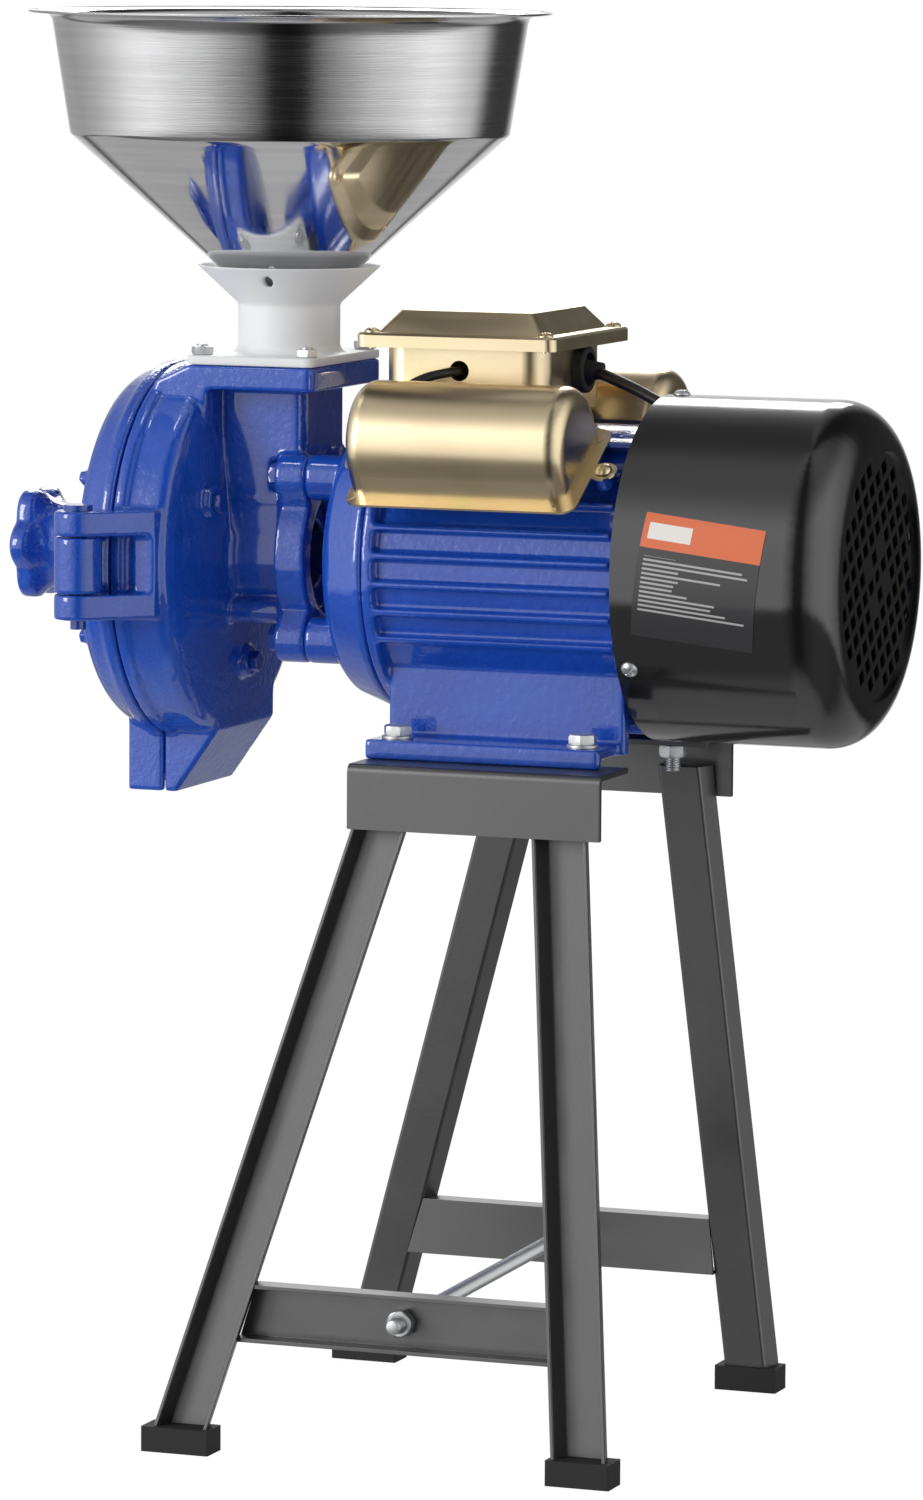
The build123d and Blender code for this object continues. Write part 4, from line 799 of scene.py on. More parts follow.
@dataclass
class Shell:
    """A mesh being put together from rings and grids.

    Attributes:
        verts: the points so far.
        faces: the faces so far, as point numbers.
    """

    verts: list[Vector] = field(default_factory=list)
    faces: list[tuple[int, ...]] = field(default_factory=list)

    def ring_surface(self, rings: list[list[Vector]], close_first: bool = False,
                     close_last: bool = False) -> None:
        """Joins rings of the same length into a skin.

        Args:
            rings: the rings, each a closed loop of points.
            close_first: whether the first ring is filled.
            close_last: whether the last ring is filled.
        """
        start, count = len(self.verts), len(rings[0])
        for ring in rings:
            self.verts.extend(ring)
        for i in range(len(rings) - 1):
            for j in range(count):
                k = (j + 1) % count
                a, b = start + i * count, start + (i + 1) * count
                self.faces.append((a + j, a + k, b + k, b + j))
        if close_first:
            self.faces.append(tuple(start + j for j in reversed(range(count))))
        if close_last:
            last = start + (len(rings) - 1) * count
            self.faces.append(tuple(last + j for j in range(count)))

    def lathe(self, outline: Points, place: Matrix, segments: int,
              closed: bool = False) -> None:
        """Turns an outline about the local Z axis.

        Args:
            outline: (radius, height) points.
            place: from local to the row frame.
            segments: points in each ring.
            closed: whether the outline joins up with itself.
        """
        rings = []
        for radius, height in outline + (outline[:1] if closed else []):
            rings.append([place @ Vector((radius * math.cos(2 * math.pi * j / segments),
                                          radius * math.sin(2 * math.pi * j / segments),
                                          height)) for j in range(segments)])
        self.ring_surface(rings, close_first=not closed and outline[0][0] > 1e-7,
                          close_last=not closed and outline[-1][0] > 1e-7)

    def prism_stack(self, sections: list[tuple[float, list[tuple[float, float]]]],
                    place: Matrix) -> None:
        """Joins sections of the same point count along the local Z axis.

        Args:
            sections: a height and its outline for each section.
            place: from local to the row frame.
        """
        rings = [[place @ Vector((x, y, height)) for x, y in outline]
                 for height, outline in sections]
        self.ring_surface(rings, True, True)

    def piece(self, name: str, finish: bpy.types.Material, body: str, slot: str,
              replaced: tuple[str, ...] = (), sharp: float = 40.0) -> bpy.types.Object:
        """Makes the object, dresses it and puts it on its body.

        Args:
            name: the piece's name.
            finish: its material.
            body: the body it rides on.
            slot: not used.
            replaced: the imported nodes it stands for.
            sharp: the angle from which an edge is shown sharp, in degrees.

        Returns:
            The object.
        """
        mesh = bpy.data.meshes.new(name)
        mesh.from_pydata([tuple(v) for v in self.verts], [], self.faces)
        mesh.validate()
        tidy = bmesh.new()
        tidy.from_mesh(mesh)
        bmesh.ops.remove_doubles(tidy, verts=tidy.verts, dist=1e-7)
        bmesh.ops.recalc_face_normals(tidy, faces=tidy.faces)
        for edge in tidy.edges:
            if len(edge.link_faces) == 2:
                edge.smooth = edge.calc_face_angle(0.0) < math.radians(sharp)
        for face in tidy.faces:
            face.smooth = True
        tidy.to_mesh(mesh)
        tidy.free()
        mesh.materials.append(finish)
        made = bpy.data.objects.new(name, mesh)
        bpy.context.scene.collection.objects.link(made)
        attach(made, body)
        if replaced:
            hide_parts(*replaced)
        return made


def upright(origin: Vector, axis: Vector) -> Matrix:
    """A matrix that puts local Z along an axis.

    Args:
        origin: where the local origin goes.
        axis: the direction of local Z.

    Returns:
        The matrix.
    """
    turn = axis.normalized().to_track_quat("Z", "Y").to_matrix().to_4x4()
    return Matrix.Translation(origin) @ turn


def hexagon(flats: float, turn: float = 0.0, per_side: int = 4) -> list[tuple[float, float]]:
    """A hexagon's outline with points along its sides.

    Args:
        flats: the distance across its flats.
        turn: its turn in radians.
        per_side: points on each side.

    Returns:
        The outline's points.
    """
    corners = [(flats / math.sqrt(3) * math.cos(turn + math.pi / 3 * i),
                flats / math.sqrt(3) * math.sin(turn + math.pi / 3 * i)) for i in range(6)]
    points = []
    for (x0, y0), (x1, y1) in zip(corners, corners[1:] + corners[:1]):
        for j in range(per_side):
            t = j / per_side
            points.append((x0 + (x1 - x0) * t, y0 + (y1 - y0) * t))
    return points


def hex_head(shell: Shell, place: Matrix, flats: float, height: float, turn: float = 0.0,
             dished: bool = False) -> None:
    """A hexagon head or nut with its corners turned off.

    Args:
        shell: the mesh it is added to.
        place: puts local Z along the bolt, from the head's seat outwards.
        flats: the distance across its flats.
        height: its height.
        turn: its turn about the bolt.
        dished: whether its top has a shallow dish.
    """
    full = hexagon(flats, turn)
    limit = flats * 0.5

    def rounded(share: float) -> list[tuple[float, float]]:
        """The hexagon with its corners cut back to a circle of that share."""
        out = []
        for x, y in full:
            r = math.hypot(x, y)
            keep = min(r, limit * share)
            out.append((x / r * keep, y / r * keep))
        return out

    top = [(height, rounded(0.93)), (height, rounded(0.6))]
    if dished:
        top = [(height, rounded(0.93)), (height, rounded(0.74)),
               (height - 0.0005, rounded(0.62))]
    sections = [(0.0, rounded(1.0)), (height * 0.06, rounded(1.11))]
    sections += [(height * 0.25, rounded(1.2)), (height * 0.78, rounded(1.2)),
                 (height * 0.93, rounded(1.06))] + top
    shell.prism_stack(sections, place)


def threaded(radius: float, z0: float, z1: float, pitch: float) -> Points:
    """The outline of a threaded rod, drawn as close rings.

    Args:
        radius: the outer radius.
        z0: its start.
        z1: its end.
        pitch: the distance between crests.

    Returns:
        The outline.
    """
    root = radius - CREST_SHARE * pitch
    turns = max(1, round((z1 - z0) / pitch))
    step = (z1 - z0) / turns
    outline = [(root * 0.9, z0)]
    for i in range(turns):
        base = z0 + i * step
        outline += [(root, base + 0.12 * step), (radius, base + 0.44 * step),
                    (radius, base + 0.58 * step), (root, base + 0.9 * step)]
    return outline + [(root * 0.9, z1)]


def pan_head(shell: Shell, place: Matrix, radius: float, height: float,
             turn: float = 0.3) -> None:
    """A domed screw head with a cross recess.

    Args:
        shell: the mesh it is added to.
        place: puts local Z along the screw, from its seat outwards.
        radius: the head's radius.
        height: its height.
        turn: the cross's turn in radians.
    """
    segments, rings = 48, 12
    arm, reach, deep = radius * 0.17, radius * 0.58, height * 0.62

    def top(x: float, y: float) -> float:
        """The height of the head's top at a place."""
        r = math.hypot(x, y) / radius
        dome = height * (1 - 0.55 * r * r - 0.35 * r ** 6)
        c, s = math.cos(turn), math.sin(turn)
        u, v = abs(c * x + s * y), abs(-s * x + c * y)
        if (u < arm and v < reach) or (v < arm and u < reach):
            return dome - deep * max(0.25, 1 - math.hypot(x, y) / reach * 0.7)
        return dome

    loops = [[place @ Vector((radius * math.cos(2 * math.pi * j / segments),
                              radius * math.sin(2 * math.pi * j / segments), 0.0))
              for j in range(segments)]]
    for i in range(rings):
        r = radius * (1 - i / rings)
        loop = []
        for j in range(segments):
            x = r * math.cos(2 * math.pi * j / segments)
            y = r * math.sin(2 * math.pi * j / segments)
            loop.append(place @ Vector((x, y, top(x, y))))
        loops.append(loop)
    shell.ring_surface(loops, True, True)


# ---- the machine ---------------------------------------------------------------------------

@dataclass
class Stand:
    """The four-legged stand with its stretchers, tie rod and caps.

    Attributes:
        rod_radius: the tie rod's radius.
        rod_pitch: the distance between its thread crests.
        nut_flats: across the flats of its nuts.
        nut_height: the nuts' height.
    """

    rod_radius: float = 4.0 * MM
    rod_pitch: float = 1.25 * MM
    nut_flats: float = 13.0 * MM
    nut_height: float = 6.5 * MM

    def build(self) -> None:
        """Dresses the steel and rubber, and builds the rod and its nuts."""
        steel = finish_of(Shop.STAND_BLACK)
        for place in ("front", "rear"):
            for node in (f"{place}_top_angle", f"{place}_stretcher", f"leg_{place}_left",
                         f"leg_{place}_right"):
                dress(node, steel, Shaping.SHEET)
            for end in ("left", "right"):
                dress(f"foot_cap_{place}_{end}", finish_of(Shop.BLACK_RUBBER),
                      Shaping.MACHINED)
        self.build_rod()
        log.info("stand: angles, legs, stretchers, caps, tie rod")

    def rod_line(self) -> tuple[Vector, Vector]:
        """The two ends of the tie rod's middle line."""
        low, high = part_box("tie_rod")
        x, r = (low.x + high.x) / 2, self.rod_radius
        return Vector((x, low.y, low.z + r)), Vector((x, high.y, high.z - r))

    def build_rod(self) -> None:
        """Builds the threaded rod and its four nuts."""
        start, end = self.rod_line()
        along = end - start
        shell = Shell()
        shell.lathe(threaded(self.rod_radius, 0.0, along.length, self.rod_pitch),
                    upright(start, along), 20)
        shell.piece("threaded_tie_rod", finish_of(Shop.ZINC), ROOT_BODY, "zinc",
                    ("tie_rod",), sharp=80.0)
        nuts = Shell()
        for pair in islands("tie_rod_nuts"):
            share = (middle(pair) - start).dot(along.normalized())
            outwards = along.normalized() * (-1 if share < along.length / 2 else 1)
            seat = start + along.normalized() * share - outwards * (self.nut_height / 2)
            hex_head(nuts, upright(seat, outwards), self.nut_flats, self.nut_height,
                     0.2, dished=True)
        nuts.piece("tie_rod_hex_nuts", finish_of(Shop.ZINC), ROOT_BODY, "zinc",
                   ("tie_rod_nuts",), sharp=HEX_SHARP)


@dataclass
class Motor:
    """The motor: castings, covers, screws and what turns inside.

    Attributes:
        bolt_flats: across the flats of the foot bolts.
        label_tilt: how far the label's top edge drops, in degrees.
    """

    bolt_flats: float = 13.0 * MM
    label_tilt: float = 6.5

    def build(self) -> None:
        """Dresses the motor's nodes and builds its screws and bolts."""
        blue = finish_of(Shop.MOTOR_BLUE)
        dress("motor_frame", blue, Shaping.CAST)
        dress("drive_end_shield", blue, Shaping.CAST)
        dress("fan_end_shield", blue, Shaping.CAST)
        dress("fan_cover", finish_of(Shop.COVER_BLACK), Shaping.BARE)
        self.dress_inside()
        self.build_label()
        self.build_cover_screws()
        self.build_foot_bolts()
        log.info("motor: frame, shields, fan cover, label, bolts")

    def dress_inside(self) -> None:
        """Dresses the shaft, the bearings and the windings."""
        steel, iron = finish_of(Shop.MACHINED), finish_of(Shop.GREY_IRON)
        for node in ("motor_shaft", "drive_end_bearing", "fan_end_bearing"):
            dress(node, steel, Shaping.BARE)
        for node in ("stator_core", "rotor_core"):
            dress(node, iron, Shaping.BARE)
        dress("stator_windings", finish_of(Shop.COPPER), Shaping.MACHINED)
        dress("cooling_fan", finish_of(Shop.BLACK_PLASTIC), Shaping.MACHINED)
        dress("centrifugal_switch", finish_of(Shop.BLACK_PLASTIC), Shaping.MACHINED)

    def build_label(self) -> None:
        """Dresses the rating label."""
        low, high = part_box("rating_label")
        tilt = math.radians(self.label_tilt)
        span = (high.x - low.x, high.z - low.z)
        across = math.cos(tilt) ** 2 - math.sin(tilt) ** 2
        length = (span[0] * math.cos(tilt) - span[1] * math.sin(tilt)) / across
        height = (span[1] * math.cos(tilt) - span[0] * math.sin(tilt)) / across
        print_of = PrintedLabel(
            "label_print", (0.035, 0.035, 0.038), 0.3,
            middle=((low.x + high.x) / 2, (low.z + high.z) / 2), tilt=self.label_tilt,
            size=(length, height))
        dress("rating_label", print_of.material(), Shaping.BARE)

    def build_cover_screws(self) -> None:
        """Builds the screws round the fan cover."""
        low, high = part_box("motor_shaft")
        axis_z = (low.z + high.z) / 2
        cover_low, cover_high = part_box("fan_cover")
        radius = (cover_high.y - cover_low.y) / 2
        shell = Shell()
        for pair in islands("fan_cover_screws"):
            at = middle(pair)
            out = Vector((0.0, at.y, at.z - axis_z)).normalized()
            seat = Vector((at.x, 0.0, axis_z)) + out * (radius + 0.1 * MM)
            pan_head(shell, upright(seat, out), 4.4 * MM, 2.6 * MM, 0.9)
            shell.lathe([(2.0 * MM, -11.0 * MM), (2.0 * MM, 0.05 * MM)],
                        upright(seat, out), 16)
        shell.piece("fan_cover_pan_screws", finish_of(Shop.ZINC), ROOT_BODY, "zinc",
                    ("fan_cover_screws",), sharp=35.0)

    def build_foot_bolts(self) -> None:
        """Builds the hexagon bolts, washers and nuts of the motor's foot."""
        heads = Shell()
        foot_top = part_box("motor_foot_bolts")[1].z - 7.0 * MM
        for i, pair in enumerate(islands("motor_foot_bolts")):
            at = middle(pair)
            washer = upright(Vector((at.x, at.y, foot_top)), UP)
            heads.lathe([(4.3 * MM, 0.0), (8.0 * MM, 0.0), (8.1 * MM, 0.4 * MM),
                         (8.0 * MM, 1.5 * MM), (4.3 * MM, 1.6 * MM)], washer, 40)
            head = upright(Vector((at.x, at.y, foot_top + 1.6 * MM)), UP)
            hex_head(heads, head, self.bolt_flats, 5.4 * MM, 0.35 * i)
            tail = pair[0].z - foot_top
            heads.lathe(threaded(4.0 * MM, tail, 0.5 * MM, 1.25 * MM), washer, 20)
        heads.piece("foot_hex_bolts", finish_of(Shop.ZINC), ROOT_BODY, "zinc",
                    ("motor_foot_bolts",), sharp=HEX_SHARP)
        nuts = Shell()
        for i, pair in enumerate(islands("motor_foot_nuts")):
            at = middle(pair)
            seat = upright(Vector((at.x, at.y, pair[1].z)), -UP)
            hex_head(nuts, seat, self.bolt_flats, pair[1].z - pair[0].z, 0.5 * i)
        nuts.piece("foot_hex_nuts", finish_of(Shop.ZINC), ROOT_BODY, "zinc",
                   ("motor_foot_nuts",), sharp=HEX_SHARP)


@dataclass
class Electrics:
    """The terminal box, the capacitor covers and their leads.

    Attributes:
        lean: how far the capacitor covers lean up from the sides, in degrees.
    """

    lean: float = 58.0

    def build(self) -> None:
        """Dresses the boxes and leads, and builds their screws."""
        gold = finish_of(Shop.PALE_GOLD)
        for node in ("terminal_box", "terminal_box_lid"):
            dress(node, gold, Shaping.SHEET)
        for place in ("front", "rear"):
            dress(f"{place}_capacitor_cover", gold, Shaping.BARE)
            dress(f"{place}_capacitor", finish_of(Shop.PALE_PLASTIC), Shaping.MACHINED)
        dress("capacitor_leads", finish_of(Shop.LEAD_RUBBER), Shaping.BARE)
        dress("switch_lead", finish_of(Shop.LEAD_RUBBER), Shaping.BARE)
        dress("lead_grommet", finish_of(Shop.BLACK_RUBBER), Shaping.BARE)
        dress("terminal_block", finish_of(Shop.PALE_PLASTIC), Shaping.MACHINED)
        self.build_lid_screws()
        self.build_ear_screws()
        log.info("electrics: terminal box, capacitor covers, leads")

    def build_lid_screws(self) -> None:
        """Builds the four screws of the box's lid."""
        shell = Shell()
        for i, pair in enumerate(islands("lid_screws")):
            at = middle(pair)
            seat = upright(Vector((at.x, at.y, pair[1].z - 2.4 * MM)), UP)
            pan_head(shell, seat, 4.2 * MM, 2.4 * MM, 0.5 * i)
            shell.lathe([(2.0 * MM, pair[0].z - pair[1].z + 2.4 * MM), (2.0 * MM, 0.05 * MM)],
                        seat, 16)
        shell.piece("lid_pan_screws", finish_of(Shop.PALE_GOLD), ROOT_BODY,
                    "gold_plated_steel", ("lid_screws",), sharp=35.0)

    def build_ear_screws(self) -> None:
        """Builds the screws through the capacitor covers' ears."""
        shell = Shell()
        lean = math.radians(self.lean)
        for i, pair in enumerate(islands("capacitor_cover_screws")):
            at = middle(pair)
            side = -1 if at.y < 0 else 1
            out = Vector((0.0, side * math.cos(lean), math.sin(lean)))
            seat = upright(at - out * 0.9 * MM, out)
            pan_head(shell, seat, 4.5 * MM, 2.7 * MM, 0.4 + i)
        shell.piece("ear_pan_screws", finish_of(Shop.PALE_GOLD), ROOT_BODY,
                    "gold_plated_steel", ("capacitor_cover_screws",), sharp=35.0)


@dataclass
class Handwheel:
    """The cast handwheel: a lobed rim that flows into a round skirt.

    Attributes:
        lobes: how many lobes it has.
        lobe_radius: out to the tip of a lobe.
        waist: the radius between two lobes.
        skirt: the skirt's radius.
        bore: the radius of the screw's hole.
        flow: how long the flare from the lobes to the skirt is.
        flow_steps: rings along the flare.
        points: points in each ring.
    """

    lobes: int = 6
    lobe_radius: float = 31.0 * MM
    waist: float = 25.5 * MM
    skirt: float = 21.0 * MM
    bore: float = 8.02 * MM
    flow: float = 13.0 * MM
    flow_steps: int = 10
    points: int = 120

    def outline(self, angle: float, share: float) -> float:
        """The radius at an angle, from the full lobes to the round skirt.

        Args:
            angle: the angle about the shaft, in radians.
            share: 1 at the lobed rim, 0 at the skirt.

        Returns:
            The radius.
        """
        wave = 0.5 + 0.5 * math.cos(self.lobes * angle)
        lobed = self.waist + (self.lobe_radius - self.waist) * wave ** 0.7
        return self.skirt + (lobed - self.skirt) * share

    def build(self) -> None:
        """Builds the wheel on its screw."""
        low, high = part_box("handwheel")
        centre = Vector((low.x, (low.y + high.y) / 2, (low.z + high.z) / 2))
        rings = [self.ring(centre, along, radius_of)
                 for along, radius_of in self.stations(high.x - low.x)]
        shell = Shell()
        shell.ring_surface(rings)
        shell.piece("cast_handwheel", finish_of(Shop.MILL_BLUE), "handwheel",
                    "blue_enamel", ("handwheel",), sharp=50.0)

    def ring(self, centre: Vector, along: float,
             radius_of: Callable[[float], float]) -> list[Vector]:
        """One ring of the wheel's skin.

        Args:
            centre: the middle of the wheel's outer end.
            along: the ring's distance from that end.
            radius_of: its radius at an angle.

        Returns:
            Its points.
        """
        points = []
        for j in range(self.points):
            a = 2 * math.pi * j / self.points
            points.append(centre + Vector((along, -radius_of(a) * math.cos(a),
                                           -radius_of(a) * math.sin(a))))
        return points

    def stations(self, length: float) -> list[tuple[float, Callable[[float], float]]]:
        """The rings from inside the skirt, round the rim and back to the bore.

        Args:
            length: the wheel's length.

        Returns:
            Each ring's distance from the outer end and its radius by angle.
        """
        def even(radius: float) -> Callable[[float], float]:
            """A round ring."""
            return lambda a: radius

        def lobed(share: float, less: float) -> Callable[[float], float]:
            """A ring with part of the lobes."""
            return lambda a: self.outline(a, share) - less

        made = [(length * 0.57, even(self.bore)), (8.0 * MM, even(self.bore)),
                (7.0 * MM, even(11.0 * MM)), (5.0 * MM, even(13.0 * MM)),
                (2.0 * MM, lambda a: self.outline(a, 1.0) * 0.72)]
        made += [(x * MM, lobed(1.0, less * MM)) for x, less in (
            (0.6, 3.2), (0.0, 1.6), (0.9, 0.5), (2.4, 0.0), (7.0, 0.0), (9.2, 0.5))]
        for i in range(1, self.flow_steps + 1):
            t = i / self.flow_steps
            share = (1 - t) ** 2.2
            made.append((9.2 * MM + self.flow * t, lobed(share, 0.5 * MM * share)))
        made += [(length * x, even(self.skirt + grow * MM)) for x, grow in (
            (0.62, 0.0), (0.8, 0.3), (0.94, 0.8), (0.985, 0.6), (1.0, -0.6), (1.0, -4.0),
            (0.5, -5.0))]
        return made + [(length * 0.48, even(12.0 * MM)), (length * 0.56, even(11.5 * MM)),
                       (length * 0.57, even(self.bore))]


@dataclass
class Mill:
    """The grinding head: housing, door, hinge, clamp, burrs and bolts.

    Attributes:
        coupling_flats: across the flats of the bolts on the lobes.
        burr_flats: across the flats of the burr bolts.
    """

    coupling_flats: float = 13.0 * MM
    burr_flats: float = 10.0 * MM

    def build(self) -> None:
        """Dresses the castings and builds the bolts and the handwheel."""
        blue = finish_of(Shop.MILL_BLUE)
        dress("mill_housing", blue, Shaping.CAST)
        dress("mill_door", blue, Shaping.CAST)
        dress("hinge_pin", finish_of(Shop.BOLT_BLUE), Shaping.MACHINED)
        for node in ("fixed_burr", "rotating_burr", "burr_carrier", "feed_auger"):
            dress(node, finish_of(Shop.GREY_IRON), Shaping.MACHINED)
        for node in ("adjusting_screw", "thrust_pad", "clamp_washer"):
            dress(node, finish_of(Shop.MACHINED), Shaping.MACHINED)
        dress("shaft_seal", finish_of(Shop.BLACK_RUBBER), Shaping.BARE)
        dress("clamp_knob", finish_of(Shop.BLACK_PLASTIC), Shaping.FINE_CAST)
        self.build_bolts("coupling_bolts", self.coupling_flats, 5.3 * MM)
        self.build_bolts("burr_bolts", self.burr_flats, 4.0 * MM)
        Handwheel().build()
        log.info("mill: housing, door, burrs, handwheel, clamp")

    def build_bolts(self, node: str, flats: float, height: float) -> None:
        """Builds painted hexagon bolts that lie along the shaft.

        Args:
            node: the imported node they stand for.
            flats: across their flats.
            height: the height of their heads.
        """
        shell = Shell()
        leftwards = node == "coupling_bolts"
        out = Vector((-1.0 if leftwards else 1.0, 0.0, 0.0))
        for i, pair in enumerate(islands(node)):
            at = middle(pair)
            tip = pair[0].x if leftwards else pair[1].x
            seat = upright(Vector((tip - out.x * height, at.y, at.z)), out)
            hex_head(shell, seat, flats, height, 0.3 + 0.4 * i)
            tail = pair[1].x - pair[0].x - height
            shell.lathe([(flats * 0.3, -tail), (flats * 0.3, 0.1 * MM)], seat, 20)
        shell.piece(node.replace("_bolts", "_hex_bolts"), finish_of(Shop.BOLT_BLUE),
                    ROOT_BODY, "blue_hardware", (node,), sharp=HEX_SHARP)


@dataclass
class Feed:
    """The cast funnel and the spun hopper.

    Attributes:
        wall: the sheet's thickness.
        low_radius: the hopper's radius at the fold above the cone.
        top_radius: its radius under the rim.
        lip: height of the turned-out rim.
        fold_height: the fold's height above the floor.
        slope: the cone's radius gained per unit of height.
        spigot: the spigot's outer radius.
    """

    wall: float = 0.8 * MM
    low_radius: float = 113.7 * MM
    top_radius: float = 122.8 * MM
    lip: float = 6.0 * MM
    fold_height: float = 667.7 * MM
    slope: float = 1.12
    spigot: float = 23.0 * MM

    def build(self) -> None:
        """Dresses the funnel, and builds the hopper and the bolts."""
        dress("feed_funnel", finish_of(Shop.FUNNEL_GREY), Shaping.FINE_CAST)
        self.build_hopper()
        self.build_bolts()
        log.info("feed: funnel, hopper, bolts")

    def skin(self, top: float, bottom: float, rim_radius: float) -> Points:
        """The hopper's outer line from the spigot to the rim.

        Args:
            top: the rim's height.
            bottom: the spigot's lower end.
            rim_radius: the rim's outer radius.

        Returns:
            (radius, height) points.
        """
        fold = self.fold_height
        cone_start = fold - (self.low_radius - self.spigot) / self.slope
        line: Points = [(self.spigot, bottom), (self.spigot, cone_start - 0.6 * MM),
                        (self.spigot + 0.35 * MM, cone_start + 0.3 * MM)]
        steps = 24
        for i in range(1, steps):
            t = i / steps
            line.append((self.spigot + (self.low_radius - self.spigot) * t,
                         cone_start + (fold - cone_start) * t))
        line += [(self.low_radius - 0.8 * MM, fold - 0.7 * MM),
                 (self.low_radius - 0.1 * MM, fold + 0.1 * MM),
                 (self.low_radius + 0.15 * MM, fold + 1.3 * MM)]
        wall_top = top - self.lip
        for i in range(1, 12):
            t = i / 12
            line.append((self.low_radius + (self.top_radius - self.low_radius) * t,
                         fold + (wall_top - fold) * t))
        line += [(self.top_radius, wall_top), (self.top_radius + 0.7 * MM, top - 3.9 * MM),
                 (self.top_radius + 2.2 * MM, top - 2.3 * MM),
                 (self.top_radius + 4.6 * MM, top - 1.6 * MM),
                 (rim_radius - 1.4 * MM, top - 1.2 * MM)]
        return line

    def build_hopper(self) -> None:
        """Builds the hopper as one closed sheet with a curled rim."""
        low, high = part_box("hopper")
        axis = ((low.x + high.x) / 2, (low.y + high.y) / 2)
        rim = (high.x - low.x) / 2
        outer = self.skin(high.z, low.z, rim)
        curl: Points = [(rim - 0.4 * MM, high.z - 1.3 * MM), (rim, high.z - 0.8 * MM),
                        (rim - 0.3 * MM, high.z - 0.1 * MM), (rim - 1.2 * MM, high.z)]
        inner: Points = []
        for i, (radius, height) in enumerate(outer):
            near = outer[max(0, i - 1)]
            far = outer[min(len(outer) - 1, i + 1)]
            along = Vector((far[0] - near[0], far[1] - near[1])).normalized()
            inner.append((radius - along.y * self.wall, height + along.x * self.wall))
        place = Matrix.Translation((axis[0], axis[1], 0.0))
        shell = Shell()
        shell.lathe(outer + curl + inner[::-1], place, 256, closed=True)
        steel = SpunStainless("spun_stainless", (0.74, 0.74, 0.75), 0.05, axis=axis,
                              fold=self.fold_height, wall_roughness=0.13)
        shell.piece("spun_hopper", steel.material(), "hopper", "stainless", ("hopper",),
                    sharp=60.0)

    def build_bolts(self) -> None:
        """Builds the small bolts of the funnel's flange."""
        shell = Shell()
        for i, pair in enumerate(islands("funnel_bolts")):
            at = middle(pair)
            seat = upright(Vector((at.x, at.y, pair[1].z - 5.5 * MM)), UP)
            hex_head(shell, seat, 10.0 * MM, 4.2 * MM, 0.2 + 0.37 * i, dished=True)
            tail = pair[0].z - pair[1].z + 5.5 * MM
            shell.lathe([(3.0 * MM, tail), (3.0 * MM, 5.0 * MM), (2.5 * MM, 5.5 * MM)],
                        seat, 20)
        shell.piece("funnel_hex_bolts", finish_of(Shop.ZINC), ROOT_BODY, "zinc",
                    ("funnel_bolts",), sharp=HEX_SHARP)


# ---- the studio ------------------------------------------------------------------------------


@dataclass(frozen=True)
class SoftLight:
    """One rectangular softbox.

    Attributes:
        name: its name.
        place: where it hangs, in metres.
        aim: the point it faces.
        size: its width and height.
        power: its power in watts.
    """

    name: str
    place: tuple[float, float, float]
    aim: tuple[float, float, float]
    size: tuple[float, float]
    power: float

    def hang(self) -> None:
        """Adds the light to the scene."""
        lamp = bpy.data.lights.new(self.name, "AREA")
        lamp.shape = "RECTANGLE"
        lamp.size, lamp.size_y = self.size
        lamp.energy = self.power
        made = bpy.data.objects.new(self.name, lamp)
        made.location = self.place
        towards = Vector(self.aim) - Vector(self.place)
        made.rotation_euler = towards.to_track_quat("-Z", "Y").to_euler()
        bpy.context.scene.collection.objects.link(made)


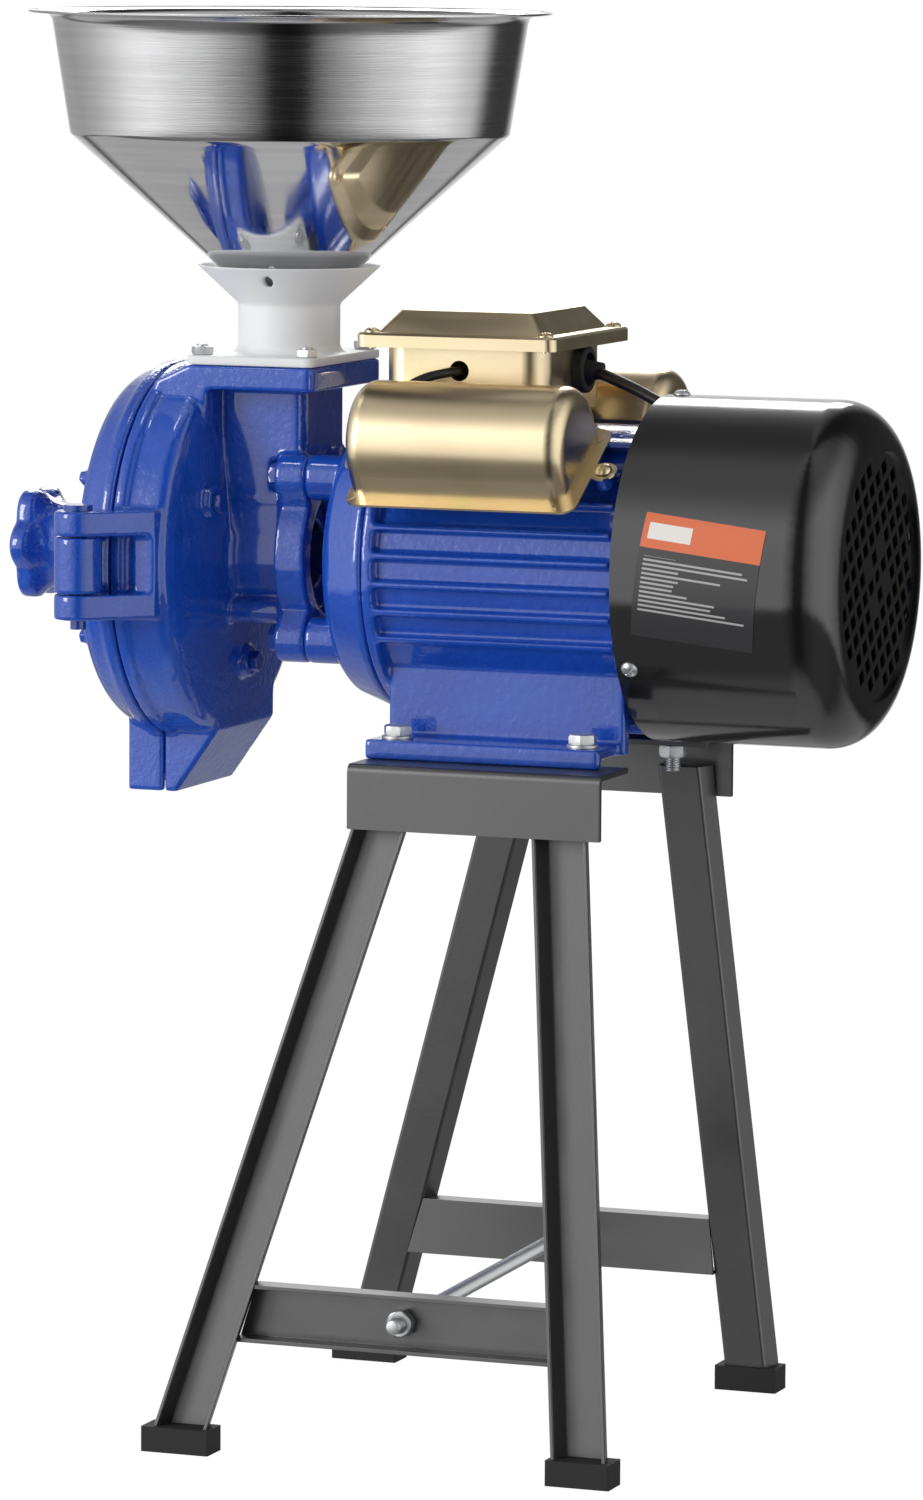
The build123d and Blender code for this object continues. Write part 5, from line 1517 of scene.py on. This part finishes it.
@dataclass
class Studio:
    """The floor, the lights, the surroundings and the camera.

    Attributes:
        azimuth: the camera's angle round the machine, in degrees.
        elevation: its angle above the horizon, in degrees.
        roll: its roll, in degrees.
        distance: from the camera to its aim, in metres.
        aim: the point it looks at.
        lens: its focal length in millimetres.
        sensor: the sensor's width in millimetres.
        lights: the softboxes.
        panels: the room's brightness from in front of the object's view, at 0, to behind
            it, at 1.
    """

    azimuth: float = 20.6728
    elevation: float = 6.6235
    roll: float = 0.408
    distance: float = 3.905427
    aim: tuple[float, float, float] = (0.008324, 0.0, 0.351458)
    lens: float = 181.0624
    sensor: float = 36.0
    lights: tuple[SoftLight, ...] = (
        SoftLight("left_softbox", (-2.2, -2.6, 1.4), (0.0, 0.0, 0.45), (0.9, 2.0), 45.0),
        SoftLight("back_softbox", (-0.9, 2.6, 2.0), (0.0, 0.0, 0.5), (1.6, 0.8), 30.0),
    )
    panels: tuple[tuple[float, float], ...] = (
        (0.0, 0.03), (0.05, 0.06), (0.09, 0.4), (0.14, 0.7), (0.19, 0.93), (0.24, 1.15),
        (0.42, 1.2), (0.5, 1.0), (0.57, 0.74), (0.65, 0.53), (0.75, 0.4), (0.9, 0.4),
        (1.0, 1.0))

    def build(self) -> None:
        """Builds the studio."""
        self.lay_floor()
        self.light_surroundings()
        for light in self.lights:
            light.hang()
        self.place_camera()
        scene = bpy.context.scene
        scene.view_settings.view_transform = "Standard"
        log.info("studio: floor, %d lights, camera", len(self.lights))

    def lay_floor(self) -> None:
        """Lays a wide pale floor."""
        half = 120.0
        mesh = bpy.data.meshes.new("floor")
        mesh.from_pydata([(-half, -half, 0.0), (half, -half, 0.0), (half, half, 0.0),
                          (-half, half, 0.0)], [], [(0, 1, 2, 3)])
        made = bpy.data.materials.new("floor_paper")
        made.use_nodes = True
        graph = Graph(made.node_tree)
        shader = made.node_tree.nodes["Principled BSDF"]
        glossy = graph.add("LightPath").outputs["Is Glossy Ray"]
        shader.inputs["Base Color"].default_value = (0.86, 0.86, 0.86, 1.0)
        shader.inputs["Roughness"].default_value = 0.8
        shader.inputs["Specular IOR Level"].default_value = 0.1
        seen = graph.add("LightPath").outputs["Is Camera Ray"]
        white = graph.add("Emission", {"Color": (1.0, 1.0, 1.0, 1.0), "Strength": 1.06})
        share = graph.maths("MULTIPLY", seen, 0.92)
        both = graph.add("MixShader", {0: share, 1: shader.outputs[0], 2: white.outputs[0]})
        clear = graph.add("BsdfTransparent")
        paper = graph.add("MixShader", {0: glossy, 1: both.outputs[0], 2: clear.outputs[0]})
        out = made.node_tree.nodes["Material Output"]
        graph.feed(paper.outputs[0], out, "Surface")
        mesh.materials.append(made)
        floor = bpy.data.objects.new("floor", mesh)
        bpy.context.scene.collection.objects.link(floor)

    def light_surroundings(self) -> None:
        """Lights the room: bright panels at both sides, dimmer overhead and in front."""
        world = bpy.data.worlds.new("studio_room")
        world.use_nodes = True
        bpy.context.scene.world = world
        graph = Graph(world.node_tree)
        parts = graph.add("SeparateXYZ", {0: graph.add("TexCoord").outputs["Generated"]})
        turn = graph.maths("ARCTAN2", parts.outputs[0],
                           graph.maths("MULTIPLY", parts.outputs[1], -1.0))
        offset = graph.maths("SUBTRACT", turn, math.radians(self.azimuth))
        wrapped = graph.maths("WRAP", offset, math.pi, -math.pi)
        share = graph.maths("DIVIDE", graph.maths("ABSOLUTE", wrapped), math.pi)
        ring = graph.add("ValToRGB", {0: share})
        stops = ring.color_ramp.elements
        while len(stops) < len(self.panels):
            stops.new(0.5)
        for stop, (place, level) in zip(stops, self.panels):
            stop.position = place
            stop.color = (level, level, level, 1.0)
        height = parts.outputs[2]
        level = graph.maths("MULTIPLY", ring.outputs[0],
                            graph.ramp(height, 0.5, 0.85, 1.0, 0.4))
        level = graph.maths("MULTIPLY", level, graph.ramp(height, -0.36, -0.27, 0.15, 1.0))
        screen = graph.maths("MAXIMUM", graph.ramp(wrapped, 1.9, 2.2, 1.0, 0.12),
                             graph.ramp(wrapped, 2.65, 2.9, 0.12, 1.0))
        level = graph.maths("MULTIPLY", level, screen)
        behind = graph.maths("MULTIPLY", graph.ramp(height, -0.45, -0.3, 0.45, 0.0),
                             graph.ramp(share, 0.5, 0.7, 0.0, 1.0))
        beneath = graph.ramp(height, -0.97, -0.8, 0.5, 0.0)
        level = graph.maths("MAXIMUM", level, graph.maths("MAXIMUM", behind, beneath))
        seen = graph.add("LightPath").outputs["Is Camera Ray"]
        shown = graph.add("Mix", {0: seen, 2: level, 3: 1.0}, data_type="FLOAT")
        background = world.node_tree.nodes["Background"]
        graph.feed(shown.outputs[0], background, "Strength")
        background.inputs["Color"].default_value = (1.0, 1.0, 1.0, 1.0)

    def place_camera(self) -> None:
        """Makes the camera."""
        a, e = math.radians(self.azimuth), math.radians(self.elevation)
        back = Vector((math.sin(a) * math.cos(e), -math.cos(a) * math.cos(e), math.sin(e)))
        data = bpy.data.cameras.new("camera")
        data.sensor_width = self.sensor
        data.lens = self.lens
        data.clip_start, data.clip_end = 0.1, 500.0
        camera = bpy.data.objects.new("camera", data)
        turn = (-back).to_track_quat("-Z", "Y").to_matrix().to_4x4()
        spin = Matrix.Rotation(math.radians(self.roll), 4, "Z")
        camera.matrix_world = Matrix.Translation(Vector(self.aim) + back * self.distance) @ (
            turn @ spin)
        bpy.context.scene.collection.objects.link(camera)
        bpy.context.scene.camera = camera


def main() -> None:
    """Builds the studio and every sub-assembly."""
    logging.basicConfig(level=logging.INFO, format="%(name)s: %(message)s")
    Studio().build()
    Stand().build()
    Motor().build()
    Electrics().build()
    Mill().build()
    Feed().build()
    bpy.context.view_layer.update()


if __name__ == "__main__":
    main()
